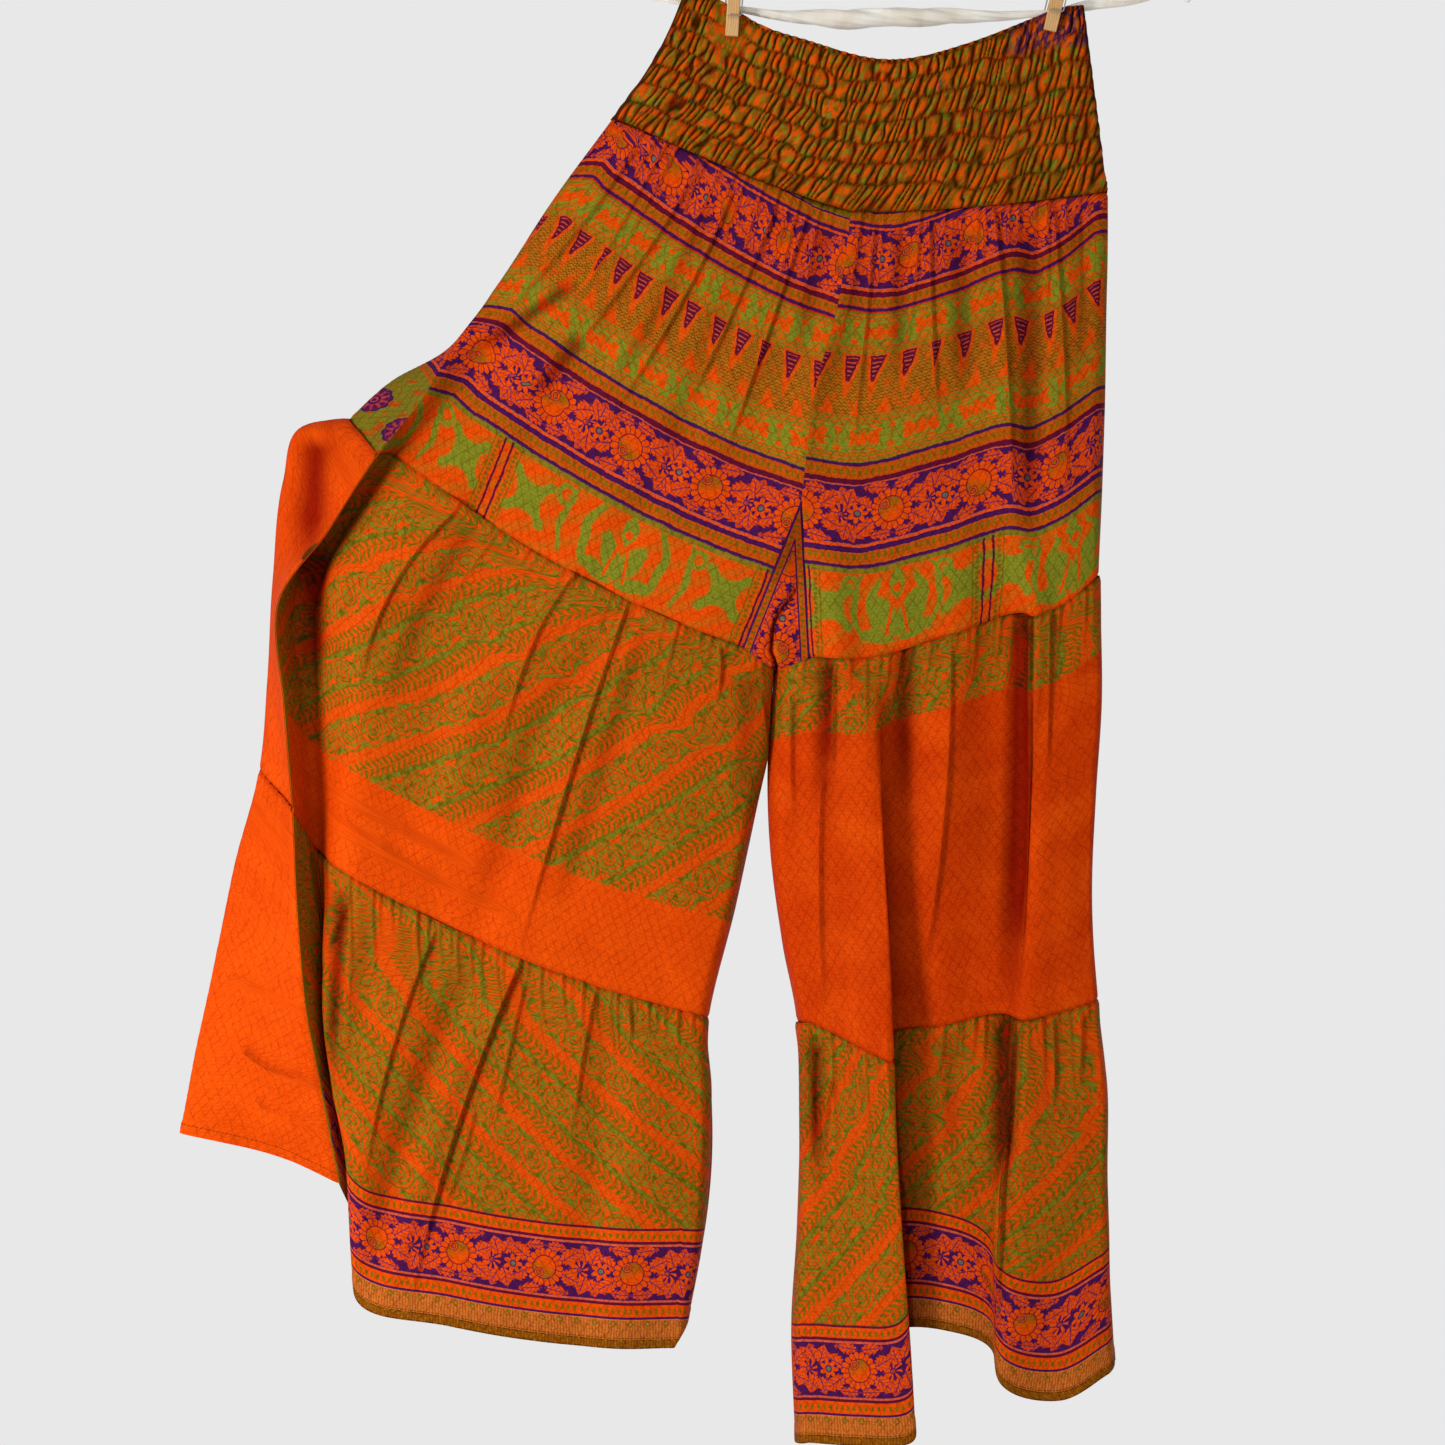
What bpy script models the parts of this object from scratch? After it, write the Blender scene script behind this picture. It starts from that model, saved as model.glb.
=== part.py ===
"""Tiered palazzo pants, pegged by the shirred waistband to a twisted cloth line.

Metres, +Z up. The origin is the middle of the line between the two pegs, and the front of the garment faces -Y.
"left" is the -X side. Stations run down the garment: 0 the waist seam, 1 the foot of tier 1, 2 the foot of
tier 2 and 3 the hem. The tables hold millimetres.
"""
import math
from collections import namedtuple

import bpy
import numpy as np

# Driving dimensions
MM = 0.001
CLOTH = 1.6 * MM
SEAM_GAP = 0.3 * MM
GARMENT_Y = -5.7 * MM
SEAM_STEP = 0.001
FINE_STEPS = 160
APEX = 0.65

# Waistband: top edge from the left side seam to the right one, and how far each layer bows out at the top
BandRow = namedtuple("BandRow", "across x z bow")
BAND_TOP = [
    BandRow(0.00, -152, 21, 1.4),
    BandRow(0.13, -118, 4, 1.2),
    BandRow(0.18, -103, -6, 1.8),
    BandRow(0.32, -62, -22, 8.0),
    BandRow(0.52, -3, -37, 13.0),
    BandRow(0.72, 57, -24, 8.0),
    BandRow(0.85, 102, -6, 1.8),
    BandRow(0.90, 119, 1, 1.2),
    BandRow(1.00, 143, 5, 1.4),
]
BAND_GATHERS = 28
BAND_END_EASE = 0.3
GRIP_REACH = 12
GRIP_BELOW = 16
GRIP_EASE = 9
GRIP_HOLD = 0.92
WAIST_POINTS = 40
BAND_ELASTICS = 8
BAND_PUFF = 1.9 * MM
BAND_PLEAT = 0.8 * MM
BAND_FLARE = 1.7
BAND_HOLLOW = 6 * MM

# Gusset: places of its columns across it, and how far it lies over the tops of the legs' inseams
GUSSET_COLUMNS = (0, 0.25, 0.5, 0.75, 1)
GUSSET_LIFT = 1.5 * MM
GUSSET_ROWS = 6
GUSSET_START = 0.02

# Centre seam of tier 1, front and back alike, down to the tip of the gusset
SeamRow = namedtuple("SeamRow", "station x z depth")
CENTRE = [
    SeamRow(0.00, -30, -147, 16),
    SeamRow(0.20, -39, -212, 20),
    SeamRow(0.45, -58, -285, 24),
    SeamRow(APEX, -67, -361, 26),
]

# Side seams of tier 1. On the left the back panel comes round to the front, as far as its edge
SideRow = namedtuple("SideRow", "station seam_x seam_y seam_z edge_x edge_z")
HIP_LEFT = [
    SideRow(0.00, -206, -3, -76, -207, -77),
    SideRow(0.20, -246, -3, -132, -247, -132),
    SideRow(0.45, -288, -4, -198, -290, -198),
    SideRow(0.65, -318, -14, -239, -324, -243),
    SideRow(0.82, -345, -28, -286, -368, -268),
    SideRow(1.00, -377, -34, -327, -401, -297),
]
HIP_RIGHT = [
    SideRow(0.00, 160, 0, -131, 160, -131),
    SideRow(0.20, 160, 0, -188, 160, -188),
    SideRow(0.45, 159, 0, -252, 159, -252),
    SideRow(0.65, 158, 0, -311, 158, -311),
    SideRow(0.82, 156, 0, -366, 156, -366),
    SideRow(1.00, 153, 0, -414, 153, -414),
]

# Left leg: the inseam, the side seam on its forward fold, the valley behind that fold, the ridge where the front
# panel lies forward again, and the outer edge
LeftRow = namedtuple(
    "LeftRow",
    "station in_x in_y in_z seam_x seam_y seam_z valley_x valley_y valley_z ridge_x ridge_y ridge_z"
    " edge_x edge_z rise turn depth sag back_sag heel",
)
LEG_LEFT = [
    LeftRow(1.00, -86, -6, -480, -377, -34, -327, -368, -14, -325, -354, -24, -335, -401, -297, 0, 27, 26, 13, 0, 0),
    LeftRow(1.10, -88, -6, -504, -392, -35, -350, -385, -12, -347, -372, -23, -355, -436, -304, 0, 24, 25, 12, 0, 0),
    LeftRow(1.25, -90, -5, -539, -413, -37, -384, -409, -9, -381, -398, -22, -386, -449, -343, 0, 20, 24, 10, 0, 0),
    LeftRow(1.50, -100, 0, -591, -449, -38, -436, -433, -5, -436, -421, -20, -438, -457, -417, 0, 12, 22, 6, 0, 0),
    LeftRow(1.75, -115, 0, -658, -445, -36, -510, -428, -5, -517, -416, -19, -520, -461, -491, 0, 10, 21, 6, 0, 0),
    LeftRow(2.00, -135, 0, -741, -439, -34, -586, -423, -4, -619, -411, -19, -627, -467, -557, 0, 10, 20, 12, 0, 0),
    LeftRow(2.25, -133, 0, -795, -436, -33, -654, -418, -3, -672, -417, -20, -680, -485, -626, 0, 10, 21, 12, -5, 0),
    LeftRow(2.50, -134, 0, -854, -430, -31, -728, -411, -2, -744, -418, -21, -752, -500, -699, 0, 10, 22, 13, -10, 2),
    LeftRow(2.75, -139, 0, -907, -420, -22, -788, -402, 0, -824, -406, -22, -842, -514, -765, 2, 10, 23, 13, -18, 8),
    LeftRow(3.00, -150, 0, -963, -408, -6, -863, -394, 4, -905, -396, -20, -946, -525, -826, 5, 10, 24, 10, -26, 20),
]

# Right leg: the inseam, the edge of its forward lobe, the tuck behind that edge, the smaller fold over the tuck with
# how low it hangs in front and behind, and the side seam
RightRow = namedtuple(
    "RightRow",
    "station in_x in_y in_z lobe_x lobe_y lobe_z tuck_x tuck_y tuck_z fold_x front_z back_z side_x side_z"
    " turn depth sag back_sag arch",
)
LEG_RIGHT = [
    RightRow(1.00, -87, 6, -482, -20, -27, -476, -6, -26, -473, 98, -445, -443, 153, -414, 27, 26, 6, 0, 0),
    RightRow(1.25, -91, 6, -547, -11, -31, -543, -8, -22, -533, 96, -518, -516, 155, -499, 20, 24, 4, 0, 0),
    RightRow(1.50, -89, 2, -617, -7, -34, -614, -9, -18, -597, 94, -587, -584, 151, -576, 12, 22, 2, -4, 0),
    RightRow(1.75, -81, 0, -684, -3, -36, -693, -8, -15, -668, 92, -662, -659, 149, -654, 10, 21, 2, -10, 0),
    RightRow(2.00, -70, 0, -744, 0, -38, -771, -5, -12, -754, 89, -741, -738, 153, -727, 10, 21, 2, -20, 1),
    RightRow(2.25, -68, 0, -817, 2, -38, -850, -4, -12, -802, 84, -805, -799, 160, -795, 10, 22, 4, -30, 3),
    RightRow(2.50, -70, 0, -898, 6, -38, -922, -2, -12, -862, 77, -869, -857, 160, -864, 10, 23, 9, -42, 6),
    RightRow(2.75, -74, 0, -972, 10, -38, -984, 1, -12, -912, 76, -931, -912, 162, -925, 10, 24, 14, -54, 9),
    RightRow(3.00, -71, 0, -1054, 13, -38, -1048, 4, -12, -970, 76, -1006, -984, 166, -994, 10, 25, 20, -66, 8),
]

# Layers of a leg: how full they are where they turn in, and places of their key points
TURN_FULLNESS = 0.8
FLAP_PART = 0.25
LEFT_LAYER_PARTS = (0.3, 0.6, 0.85)
BACK_LAYER_PARTS = (0.06, 0.3, 0.6, 0.85)
RIGHT_BACK_PARTS = (0.08, 0.3, 0.6, 0.85)
SIDE_TURN_PART = 0.08
LOBE_FULLNESS = 1.25
LOBE_SAG = 0.1
FOLD_REACH = 2.5
FOLD_FRONT = 1.15
FOLD_BACK = 0.85
# Tier 1 from its top to its foot: depth and sag of its layers, and how late the legs' form starts
HIP_DEPTH = (12, 24)
HIP_SAG = (4, 12)
HIP_FADE = 3
HIP_KEY_PARTS = (0.08, 0.92)

# Gathers sewn into the top of each tier: how many on one panel, how high they stand and how far down they run
GatherRow = namedtuple("GatherRow", "waves height run")
GATHERS = {
    "hip": GatherRow(9, 1.8 * MM, 0.55),
    "tier2": GatherRow(12, 2.0 * MM, 0.45),
    "tier3": GatherRow(14, 2.4 * MM, 0.60),
}
GATHER_FADE = 1.5
GATHER_UNEVEN = 0.25
GATHER_BEAT = 2.4
# Gathers stand only where the cloth is this flat, by the cosine between neighbouring normals
BEND_NONE = 0.6
BEND_FULL = 0.95
LEAST_SQUARE = 0.3

# Largest folds: panel, place across it at its top and foot (0 side, 1 inseam or centre), half width and height
FoldRow = namedtuple("FoldRow", "panel top foot width height")
FOLDS = [
    FoldRow("hip_left_front", 0.40, 0.30, 14, -4),
    FoldRow("hip_left_front", 0.70, 0.62, 12, -4),
    FoldRow("hip_left_back", 0.55, 0.50, 16, -5),
    FoldRow("hip_right_front", 0.35, 0.25, 12, -4),
    FoldRow("hip_right_back", 0.50, 0.45, 14, -4),
    FoldRow("tier2_left_front", 0.20, 0.14, 16, -5),
    FoldRow("tier2_left_front", 0.56, 0.36, 16, 4),
    FoldRow("tier2_left_front", 0.66, 0.50, 14, -6),
    FoldRow("tier2_left_back", 0.40, 0.34, 20, 8),
    FoldRow("tier2_left_back", 0.72, 0.62, 20, -7),
    FoldRow("tier2_right_front", 0.20, 0.24, 13, -5),
    FoldRow("tier2_right_front", 0.45, 0.47, 13, 4),
    FoldRow("tier2_right_back", 0.34, 0.30, 18, 8),
    FoldRow("tier2_right_back", 0.64, 0.60, 18, -7),
    FoldRow("tier3_left_front", 0.30, 0.18, 16, -5),
    FoldRow("tier3_left_front", 0.52, 0.28, 14, -8),
    FoldRow("tier3_left_front", 0.78, 0.72, 16, -5),
    FoldRow("tier3_left_back", 0.36, 0.30, 24, 10),
    FoldRow("tier3_left_back", 0.66, 0.58, 24, -9),
    FoldRow("tier3_right_front", 0.62, 0.70, 14, -4),
    FoldRow("tier3_right_back", 0.30, 0.24, 20, 10),
    FoldRow("tier3_right_back", 0.58, 0.56, 20, -9),
]

# How far into the shape of a half wave the folds start and end
FOLD_START = 0.12

# Rows of points down each tier, as parts of its length
TIER_ROWS = {
    "hip": (0.0, 0.06, 0.20, 0.42, APEX, 0.82, 1.0),
    "tier2": (0.0, 0.05, 0.18, 0.38, 0.60, 0.82, 1.0),
    "tier3": (0.0, 0.06, 0.24, 0.50, 0.76, 0.90, 1.0),
}

# Line: its route from knot to knot, with its radius. It passes behind the band's left corner
LineRow = namedtuple("LineRow", "x y z radius")
LINE = [
    LineRow(-215, 5, 33, 5.4),
    LineRow(-186, 5, 22, 5.4),
    LineRow(-155, 5, 13, 3.4),
    LineRow(-134, 3, 8, 2.6),
    LineRow(-115, 0, 6, 2.4),
    LineRow(-75, 0, 1, 4.4),
    LineRow(-30, 0, -1, 7.2),
    LineRow(0, 0, 0, 7.2),
    LineRow(58, 0, 1, 5.2),
    LineRow(100, 0, 2, 2.9),
    LineRow(121, 0, 4, 2.4),
    LineRow(145, 2, 9, 4.2),
    LineRow(180, 2, 15, 4.6),
    LineRow(214, 2, 23, 4.6),
]
LINE_RADIUS = 5 * MM
LINE_POINTS = 44
LINE_BEVEL = 3
KNOT_RADIUS = 12 * MM
KNOT_SIDES = 10
KNOT_TWIST = 0.35
# Knot outline: reach along the line and girth, in parts of the knot's radius
KNOT_PROFILE = [
    (-1.0, 0.42), (-0.86, 0.78), (-0.4, 1.0), (0.1, 0.86), (0.5, 0.96), (0.86, 0.62), (1.05, 0.40), (1.9, 0.36),
]

# Pegs: the middle of the jaw tips and the lean to the right
PegRow = namedtuple("PegRow", "side x z lean")
PEGS = [
    PegRow("left", -118, -16, math.radians(4)),
    PegRow("right", 117, -12, math.radians(13)),
]
PEG_WIDTH = 10 * MM
# Side outline of each half: distance from the middle plane and height over the jaw tips
PEG_FRONT = [
    (3.2, 0), (3.2, 10), (5.2, 12), (5.2, 26), (2.4, 28), (4.8, 29.5), (4.8, 38), (1.6, 40), (6.0, 72),
    (10.4, 72), (9.8, 42), (10.4, 26), (9.6, 10), (6.4, 0),
]
PEG_BACK = [
    (3.2, 0), (3.2, 10), (9.4, 12), (9.4, 26.5), (2.4, 28), (4.8, 29.5), (4.8, 38), (1.6, 40), (6.0, 72),
    (10.4, 72), (9.8, 42), (11.8, 28), (11.8, 11), (6.4, 0),
]
SPRING_WIRE = 0.6 * MM
SPRING_COIL = 3.2 * MM
SPRING_TURNS = 3
SPRING_HEIGHT = 33.8 * MM
SPRING_HOOK_HEIGHT = 14 * MM
SPRING_SIDE = 6.2 * MM
SPRING_SIDES = 8
SPRING_INSET = 1 * MM
SPRING_SHOULDER = 1.5 * MM
SPRING_ELBOW = 5 * MM
JAW_DEPTH = 9.6 * MM
SPRING_BACK = 2.2 * MM
SPRING_STAND = 3
SPRING_CLEAR = 2.2

COLOURS = {
    "print": (0.42, 0.16, 0.02, 1.0),
    "plain": (0.78, 0.09, 0.005, 1.0),
    "border": (0.10, 0.02, 0.13, 1.0),
    "line": (0.80, 0.77, 0.68, 1.0),
    "wood": (0.62, 0.40, 0.18, 1.0),
    "steel": (0.45, 0.45, 0.44, 1.0),
}
STEEL_ROUGHNESS = 0.35
SOFT_ROUGHNESS = 0.7


def clear_scene():
    for obj in list(bpy.data.objects):
        bpy.data.objects.remove(obj, do_unlink=True)


def spline(knots, values, at):
    """Smooth curve through the values at the knots, read at the places given."""
    knots = np.asarray(knots, float)
    values = np.asarray(values, float)
    at = np.atleast_1d(np.asarray(at, float))
    slopes = np.gradient(values, knots, axis=0)
    low = np.clip(np.searchsorted(knots, at, side="right") - 1, 0, len(knots) - 2)
    span = (knots[low + 1] - knots[low])[:, None]
    t = (at - knots[low])[:, None] / span
    start = (1 + 2 * t) * (1 - t) ** 2 * values[low] + t * (1 - t) ** 2 * span * slopes[low]
    end = t * t * (3 - 2 * t) * values[low + 1] + t * t * (t - 1) * span * slopes[low + 1]
    return start + end


def read_table(table, station):
    """One row of a table at any station, as the same kind of named row."""
    knots = [row[0] for row in table]
    values = [row[1:] for row in table]
    return type(table[0])(station, *spline(knots, values, station)[0])


def point(x, y, z):
    return np.array([x, y, z]) * MM


def along(keys, counts):
    """Points on the smooth curve through the keys, evenly spaced by length within each stretch."""
    keys = np.asarray(keys)
    knots = np.concatenate([[0.0], np.cumsum(np.linalg.norm(np.diff(keys, axis=0), axis=1))])
    points = []
    for first, last, count in counts:
        fine = spline(knots, keys, np.linspace(knots[first], knots[last], FINE_STEPS))
        points.append(even(fine, count + 1)[:-1])
    points.append(keys[-1:])
    return np.vstack(points)


def even(points, count):
    """The same polyline with evenly spaced points."""
    run = np.concatenate([[0.0], np.cumsum(np.linalg.norm(np.diff(points, axis=0), axis=1))])
    places = np.linspace(0.0, run[-1], count)
    return np.stack([np.interp(places, run, points[:, axis]) for axis in range(3)], axis=1)


def unit(vectors):
    return vectors / np.linalg.norm(vectors, axis=-1, keepdims=True)


def rounded_end(flat, tip, count):
    """Quarter ellipse from a point on the flat of a layer round to the tip of the tube, without the first point."""
    angles = np.linspace(0, math.pi / 2, count + 1)[1:]
    turned = []
    for angle in angles:
        across = flat + (tip - flat) * math.sin(angle)
        across[1] = tip[1] + (flat[1] - tip[1]) * math.cos(angle)
        turned.append(across)
    return np.array(turned)


def between(start, end, part, depth, sag):
    """A point on one layer between two others, pushed out to a depth and let down by a sag."""
    place = start + (end - start) * part
    place[1] = depth
    place[2] -= sag * 4 * part * (1 - part)
    return place


# Key points of each layer, from the side seam to the inseam or centre seam

def flat_inner(row, start, layer):
    """Where a leg's layer starts to turn in to the inseam."""
    inner = point(row.in_x, row.in_y, row.in_z)
    towards = start - inner
    towards[1] = 0
    flat = inner + towards / np.linalg.norm(towards) * row.turn * MM
    flat[1] = layer * TURN_FULLNESS * row.depth * MM
    return flat, inner


def left_front_keys(row):
    seam = point(row.seam_x, row.seam_y, row.seam_z)
    valley = point(row.valley_x, row.valley_y, row.valley_z)
    ridge = point(row.ridge_x, row.ridge_y, row.ridge_z)
    flat, inner = flat_inner(row, ridge, -1)
    flat[2] -= row.heel * MM
    layer = [between(ridge, flat, part, -row.depth * MM, row.sag * MM) for part in LEFT_LAYER_PARTS]
    return [seam, valley, ridge, *layer, flat], inner


def left_back_keys(row):
    seam = point(row.seam_x, row.seam_y, row.seam_z)
    edge = point(row.edge_x, 1, row.edge_z)
    flap = seam + (edge - seam) * FLAP_PART
    flap[2] += row.rise * MM
    flat, inner = flat_inner(row, edge, 1)
    flat[2] -= row.heel * MM
    layer = [between(edge, flat, part, row.depth * MM, row.back_sag * MM) for part in BACK_LAYER_PARTS]
    layer[0][1] = TURN_FULLNESS * row.depth * MM
    return [seam, flap, edge, *layer, flat], inner


def right_front_keys(row):
    side = point(row.side_x, 0, row.side_z)
    tuck = point(row.tuck_x, row.tuck_y, row.tuck_z)
    lobe = point(row.lobe_x, row.lobe_y, row.lobe_z)
    flat, inner = flat_inner(row, side, -1)
    over = point(row.fold_x + FOLD_REACH, -FOLD_FRONT * row.depth, row.front_z)
    under = point(row.fold_x - FOLD_REACH, -FOLD_BACK * row.depth, row.back_z)
    turned = between(side, over, SIDE_TURN_PART, -TURN_FULLNESS * row.depth * MM, row.sag * MM)
    panel = between(side, over, 0.5, -row.depth * MM, row.sag * MM)
    behind = between(under, tuck, 0.5, -FOLD_BACK * row.depth * MM, -row.arch * MM)
    bulge = between(lobe, flat, 0.5, -LOBE_FULLNESS * row.depth * MM, LOBE_SAG * row.sag * MM)
    return side, [turned, panel, over, under, behind, tuck, lobe, bulge, flat], inner


def right_back_keys(row):
    side = point(row.side_x, 0, row.side_z)
    flat, inner = flat_inner(row, side, 1)
    layer = [between(side, flat, part, row.depth * MM, row.back_sag * MM) for part in RIGHT_BACK_PARTS]
    layer[0][1] = TURN_FULLNESS * row.depth * MM
    return side, [*layer, flat], inner


# Stretches of columns between the key points: first key, last key, columns
LEFT_FRONT_COLUMNS = [(0, 1, 2), (1, 2, 2)]
LEFT_BACK_COLUMNS = [(0, 2, 5), (2, 3, 2)]
TIP_COLUMNS = 2


def leg_row(side, layer, station, columns):
    """One row of points of a leg's front or back, from the side seam to the inseam."""
    if side == "left":
        row = read_table(LEG_LEFT, station)
        keys, inner = left_front_keys(row) if layer == "front" else left_back_keys(row)
        head = LEFT_FRONT_COLUMNS if layer == "front" else LEFT_BACK_COLUMNS
        last = len(keys) - 1
        points = along(keys, [*head, (head[-1][1], last, columns)])
    else:
        row = read_table(LEG_RIGHT, station)
        tip, keys, inner = right_front_keys(row) if layer == "front" else right_back_keys(row)
        start = rounded_end(keys[0], tip, TIP_COLUMNS)[::-1]
        points = np.vstack([start, along(keys, [(0, len(keys) - 1, columns)])])
    return np.vstack([points, rounded_end(points[-1], inner, TIP_COLUMNS)])


def centre_point(side, layer, station):
    """Centre seam, and below its foot the gusset's side, which leads to the corner of the leg."""
    sign = -1 if layer == "front" else 1
    if station <= APEX:
        row = read_table(CENTRE, station)
        return point(row.x, sign * row.depth, row.z)
    tip = centre_point(side, layer, APEX)
    corner = leg_corner(side, layer)
    return tip + (corner - tip) * (station - APEX) / (1 - APEX)


def leg_corner(side, layer):
    """Where the gusset, tier 1 and tier 2 meet on one leg."""
    if side == "left":
        row = LEG_LEFT[0]
        keys, _ = left_front_keys(row) if layer == "front" else left_back_keys(row)
    else:
        row = LEG_RIGHT[0]
        _, keys, _ = right_front_keys(row) if layer == "front" else right_back_keys(row)
    return keys[-1]


def hip_row(side, layer, station, columns):
    """One row of tier 1: its foot is the leg's first row, whose form fades out upwards."""
    sign = -1 if layer == "front" else 1
    table = HIP_LEFT if side == "left" else HIP_RIGHT
    row = read_table(table, station)
    seam = point(row.seam_x, row.seam_y, row.seam_z)
    edge = point(row.edge_x, 1, row.edge_z)
    centre = centre_point(side, layer, station)
    foot_row = (LEG_LEFT if side == "left" else LEG_RIGHT)[0]
    if side == "left":
        foot_keys, _ = left_front_keys(foot_row) if layer == "front" else left_back_keys(foot_row)
    else:
        foot_tip, foot_keys, _ = right_front_keys(foot_row) if layer == "front" else right_back_keys(foot_row)
    fixed = {"front": 1, "back": 3}[layer] if side == "left" else 0
    start = edge if fixed == 3 else seam
    foot_start = foot_keys[fixed - 1] if fixed else foot_tip
    foot_chord = foot_keys[-1] - foot_start
    depth = (HIP_DEPTH[0] + (HIP_DEPTH[1] - HIP_DEPTH[0]) * station) * MM
    sag = (HIP_SAG[0] + (HIP_SAG[1] - HIP_SAG[0]) * station) * MM
    fade = station ** HIP_FADE
    first_part, last_part = HIP_KEY_PARTS
    keys = [seam, seam + (edge - seam) * FLAP_PART, edge][:fixed]
    inner_keys = foot_keys[fixed:-1]
    for order, key in enumerate(inner_keys):
        foot_part = np.dot(key - foot_start, foot_chord) / np.dot(foot_chord, foot_chord)
        top_part = first_part + (last_part - first_part) * order / max(len(inner_keys) - 1, 1)
        plain = start + (centre - start) * top_part
        plain[1] = sign * depth * (TURN_FULLNESS if order == 0 else 1.0)
        plain[2] -= sag * 4 * top_part * (1 - top_part)
        foot_offset = key - (foot_start + foot_chord * foot_part)
        formed = start + (centre - start) * foot_part + foot_offset
        keys.append(plain + (formed - plain) * fade)
    keys.append(centre)
    last = len(keys) - 1
    if side == "left":
        head = LEFT_FRONT_COLUMNS if layer == "front" else LEFT_BACK_COLUMNS
        return along(keys, [*head, (head[-1][1], last, columns)])
    start_tip = rounded_end(keys[0], seam, TIP_COLUMNS)[::-1]
    return np.vstack([start_tip, along(keys, [(0, last, columns)])])


# Walls

def normals(grid):
    """Unit normals of a grid of points, by central differences."""
    return unit(np.cross(np.gradient(grid, axis=0), np.gradient(grid, axis=1)))


def cut_seams(margined):
    """The grid inside a margin of its neighbours' points, cut back by half a seam, and its normals."""
    grid = margined[1:-1, 1:-1].copy()
    out = normals(margined)[1:-1, 1:-1]
    down = unit(np.gradient(margined, axis=0))[1:-1, 1:-1]
    across = unit(np.gradient(margined, axis=1))[1:-1, 1:-1]
    square = np.linalg.norm(np.cross(down, across), axis=2, keepdims=True)
    step = across * SEAM_GAP / 2 / np.maximum(square, LEAST_SQUARE)
    grid[:, 0] += step[:, 0]
    grid[:, -1] -= step[:, -1]
    return grid, out


def fold_heights(name, grid, rows):
    """Height of the named panel's large folds at each point of its grid, which runs from side to inseam."""
    heights = np.zeros(grid.shape[:2])
    widths = np.linalg.norm(np.diff(grid, axis=1), axis=2)
    run = np.concatenate([np.zeros((len(grid), 1)), np.cumsum(widths, axis=1)], axis=1)
    total = run[:, -1:]
    down = np.asarray(rows)[:, None]
    for fold in FOLDS:
        if fold.panel == name:
            middle = (fold.top + (fold.foot - fold.top) * down) * total
            apart = (run - middle) / (fold.width * MM)
            swell = np.sin(math.pi * (FOLD_START + (1 - 2 * FOLD_START) * down))
            heights += fold.height * MM * np.exp(-apart ** 2) * swell
    return heights


def gather_heights(kind, out, rows):
    """Small gathers at the top of a tier, up and down by turns. They fade out downwards and round a bend."""
    gather = GATHERS[kind]
    shape = out.shape[:2]
    column = np.arange(shape[1])[None, :]
    flat = np.ones(shape)
    turn = np.sum(out[:, :-2] * out[:, 2:], axis=2)
    flat[:, 1:-1] = np.clip((turn - BEND_NONE) / (BEND_FULL - BEND_NONE), 0, 1)
    down = np.asarray(rows)[:, None]
    fade = np.clip(1 - down / gather.run, 0, 1) ** GATHER_FADE
    from_end = np.minimum(column, shape[1] - 1 - column)
    ends = np.clip((from_end - TIP_COLUMNS) / 2, 0, 1)
    uneven = 1 - GATHER_UNEVEN * (1 - np.sin(GATHER_BEAT * column))
    return gather.height * fade * ends * flat * uneven * np.cos(math.pi * column)


def fan(faces, left, left_places, right, right_places):
    """Triangles between two chains of points that run the same way."""
    i = 0
    j = 0
    while i < len(left) - 1 or j < len(right) - 1:
        step_left = j == len(right) - 1 or (i < len(left) - 1 and left_places[i + 1] <= right_places[j + 1])
        if step_left:
            faces.append((left[i], left[i + 1], right[j]))
            i += 1
        else:
            faces.append((left[i], right[j + 1], right[j]))
            j += 1


def wall(name, outer, inner, inner_rows, colour):
    """Closed wall between an outer grid of points and an inner one that may have fewer rows."""
    down, across = outer.shape[:2]
    inner = inner[list(inner_rows)]
    low = len(inner)
    verts = np.vstack([outer.reshape(-1, 3), inner.reshape(-1, 3)])
    first = down * across
    faces = []
    for i in range(down - 1):
        for j in range(across - 1):
            a = i * across + j
            faces.append((a, a + across, a + across + 1, a + 1))
    for i in range(low - 1):
        for j in range(across - 1):
            a = first + i * across + j
            faces.append((a, a + 1, a + across + 1, a + across))
    for j in range(across - 1):
        foot = (down - 1) * across + j
        inner_foot = first + (low - 1) * across + j
        faces.append((j, j + 1, first + j + 1, first + j))
        faces.append((foot, inner_foot, inner_foot + 1, foot + 1))
    outer_places = list(range(down))
    start = [i * across for i in range(down)]
    inner_start = [first + i * across for i in range(low)]
    fan(faces, inner_start, inner_rows, start, outer_places)
    end = [i + across - 1 for i in start]
    inner_end = [i + across - 1 for i in inner_start]
    fan(faces, end, outer_places, inner_end, inner_rows)
    return add_mesh(name, verts, faces, colour)


def add_mesh(name, verts, faces, colour):
    mesh = bpy.data.meshes.new(name)
    mesh.from_pydata([tuple(v) for v in verts], [], faces)
    mesh.validate()
    mesh.update()
    mesh.shade_smooth()
    obj = bpy.data.objects.new(name, mesh)
    bpy.context.scene.collection.objects.link(obj)
    obj.data.materials.append(material(name, colour))
    return obj


def material(name, colour):
    mat = bpy.data.materials.new(name)
    mat.use_nodes = True
    shader = mat.node_tree.nodes["Principled BSDF"]
    shader.inputs["Base Color"].default_value = COLOURS[colour]
    shader.inputs["Roughness"].default_value = STEEL_ROUGHNESS if colour == "steel" else SOFT_ROUGHNESS
    shader.inputs["Metallic"].default_value = 1.0 if colour == "steel" else 0.0
    return mat


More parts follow.
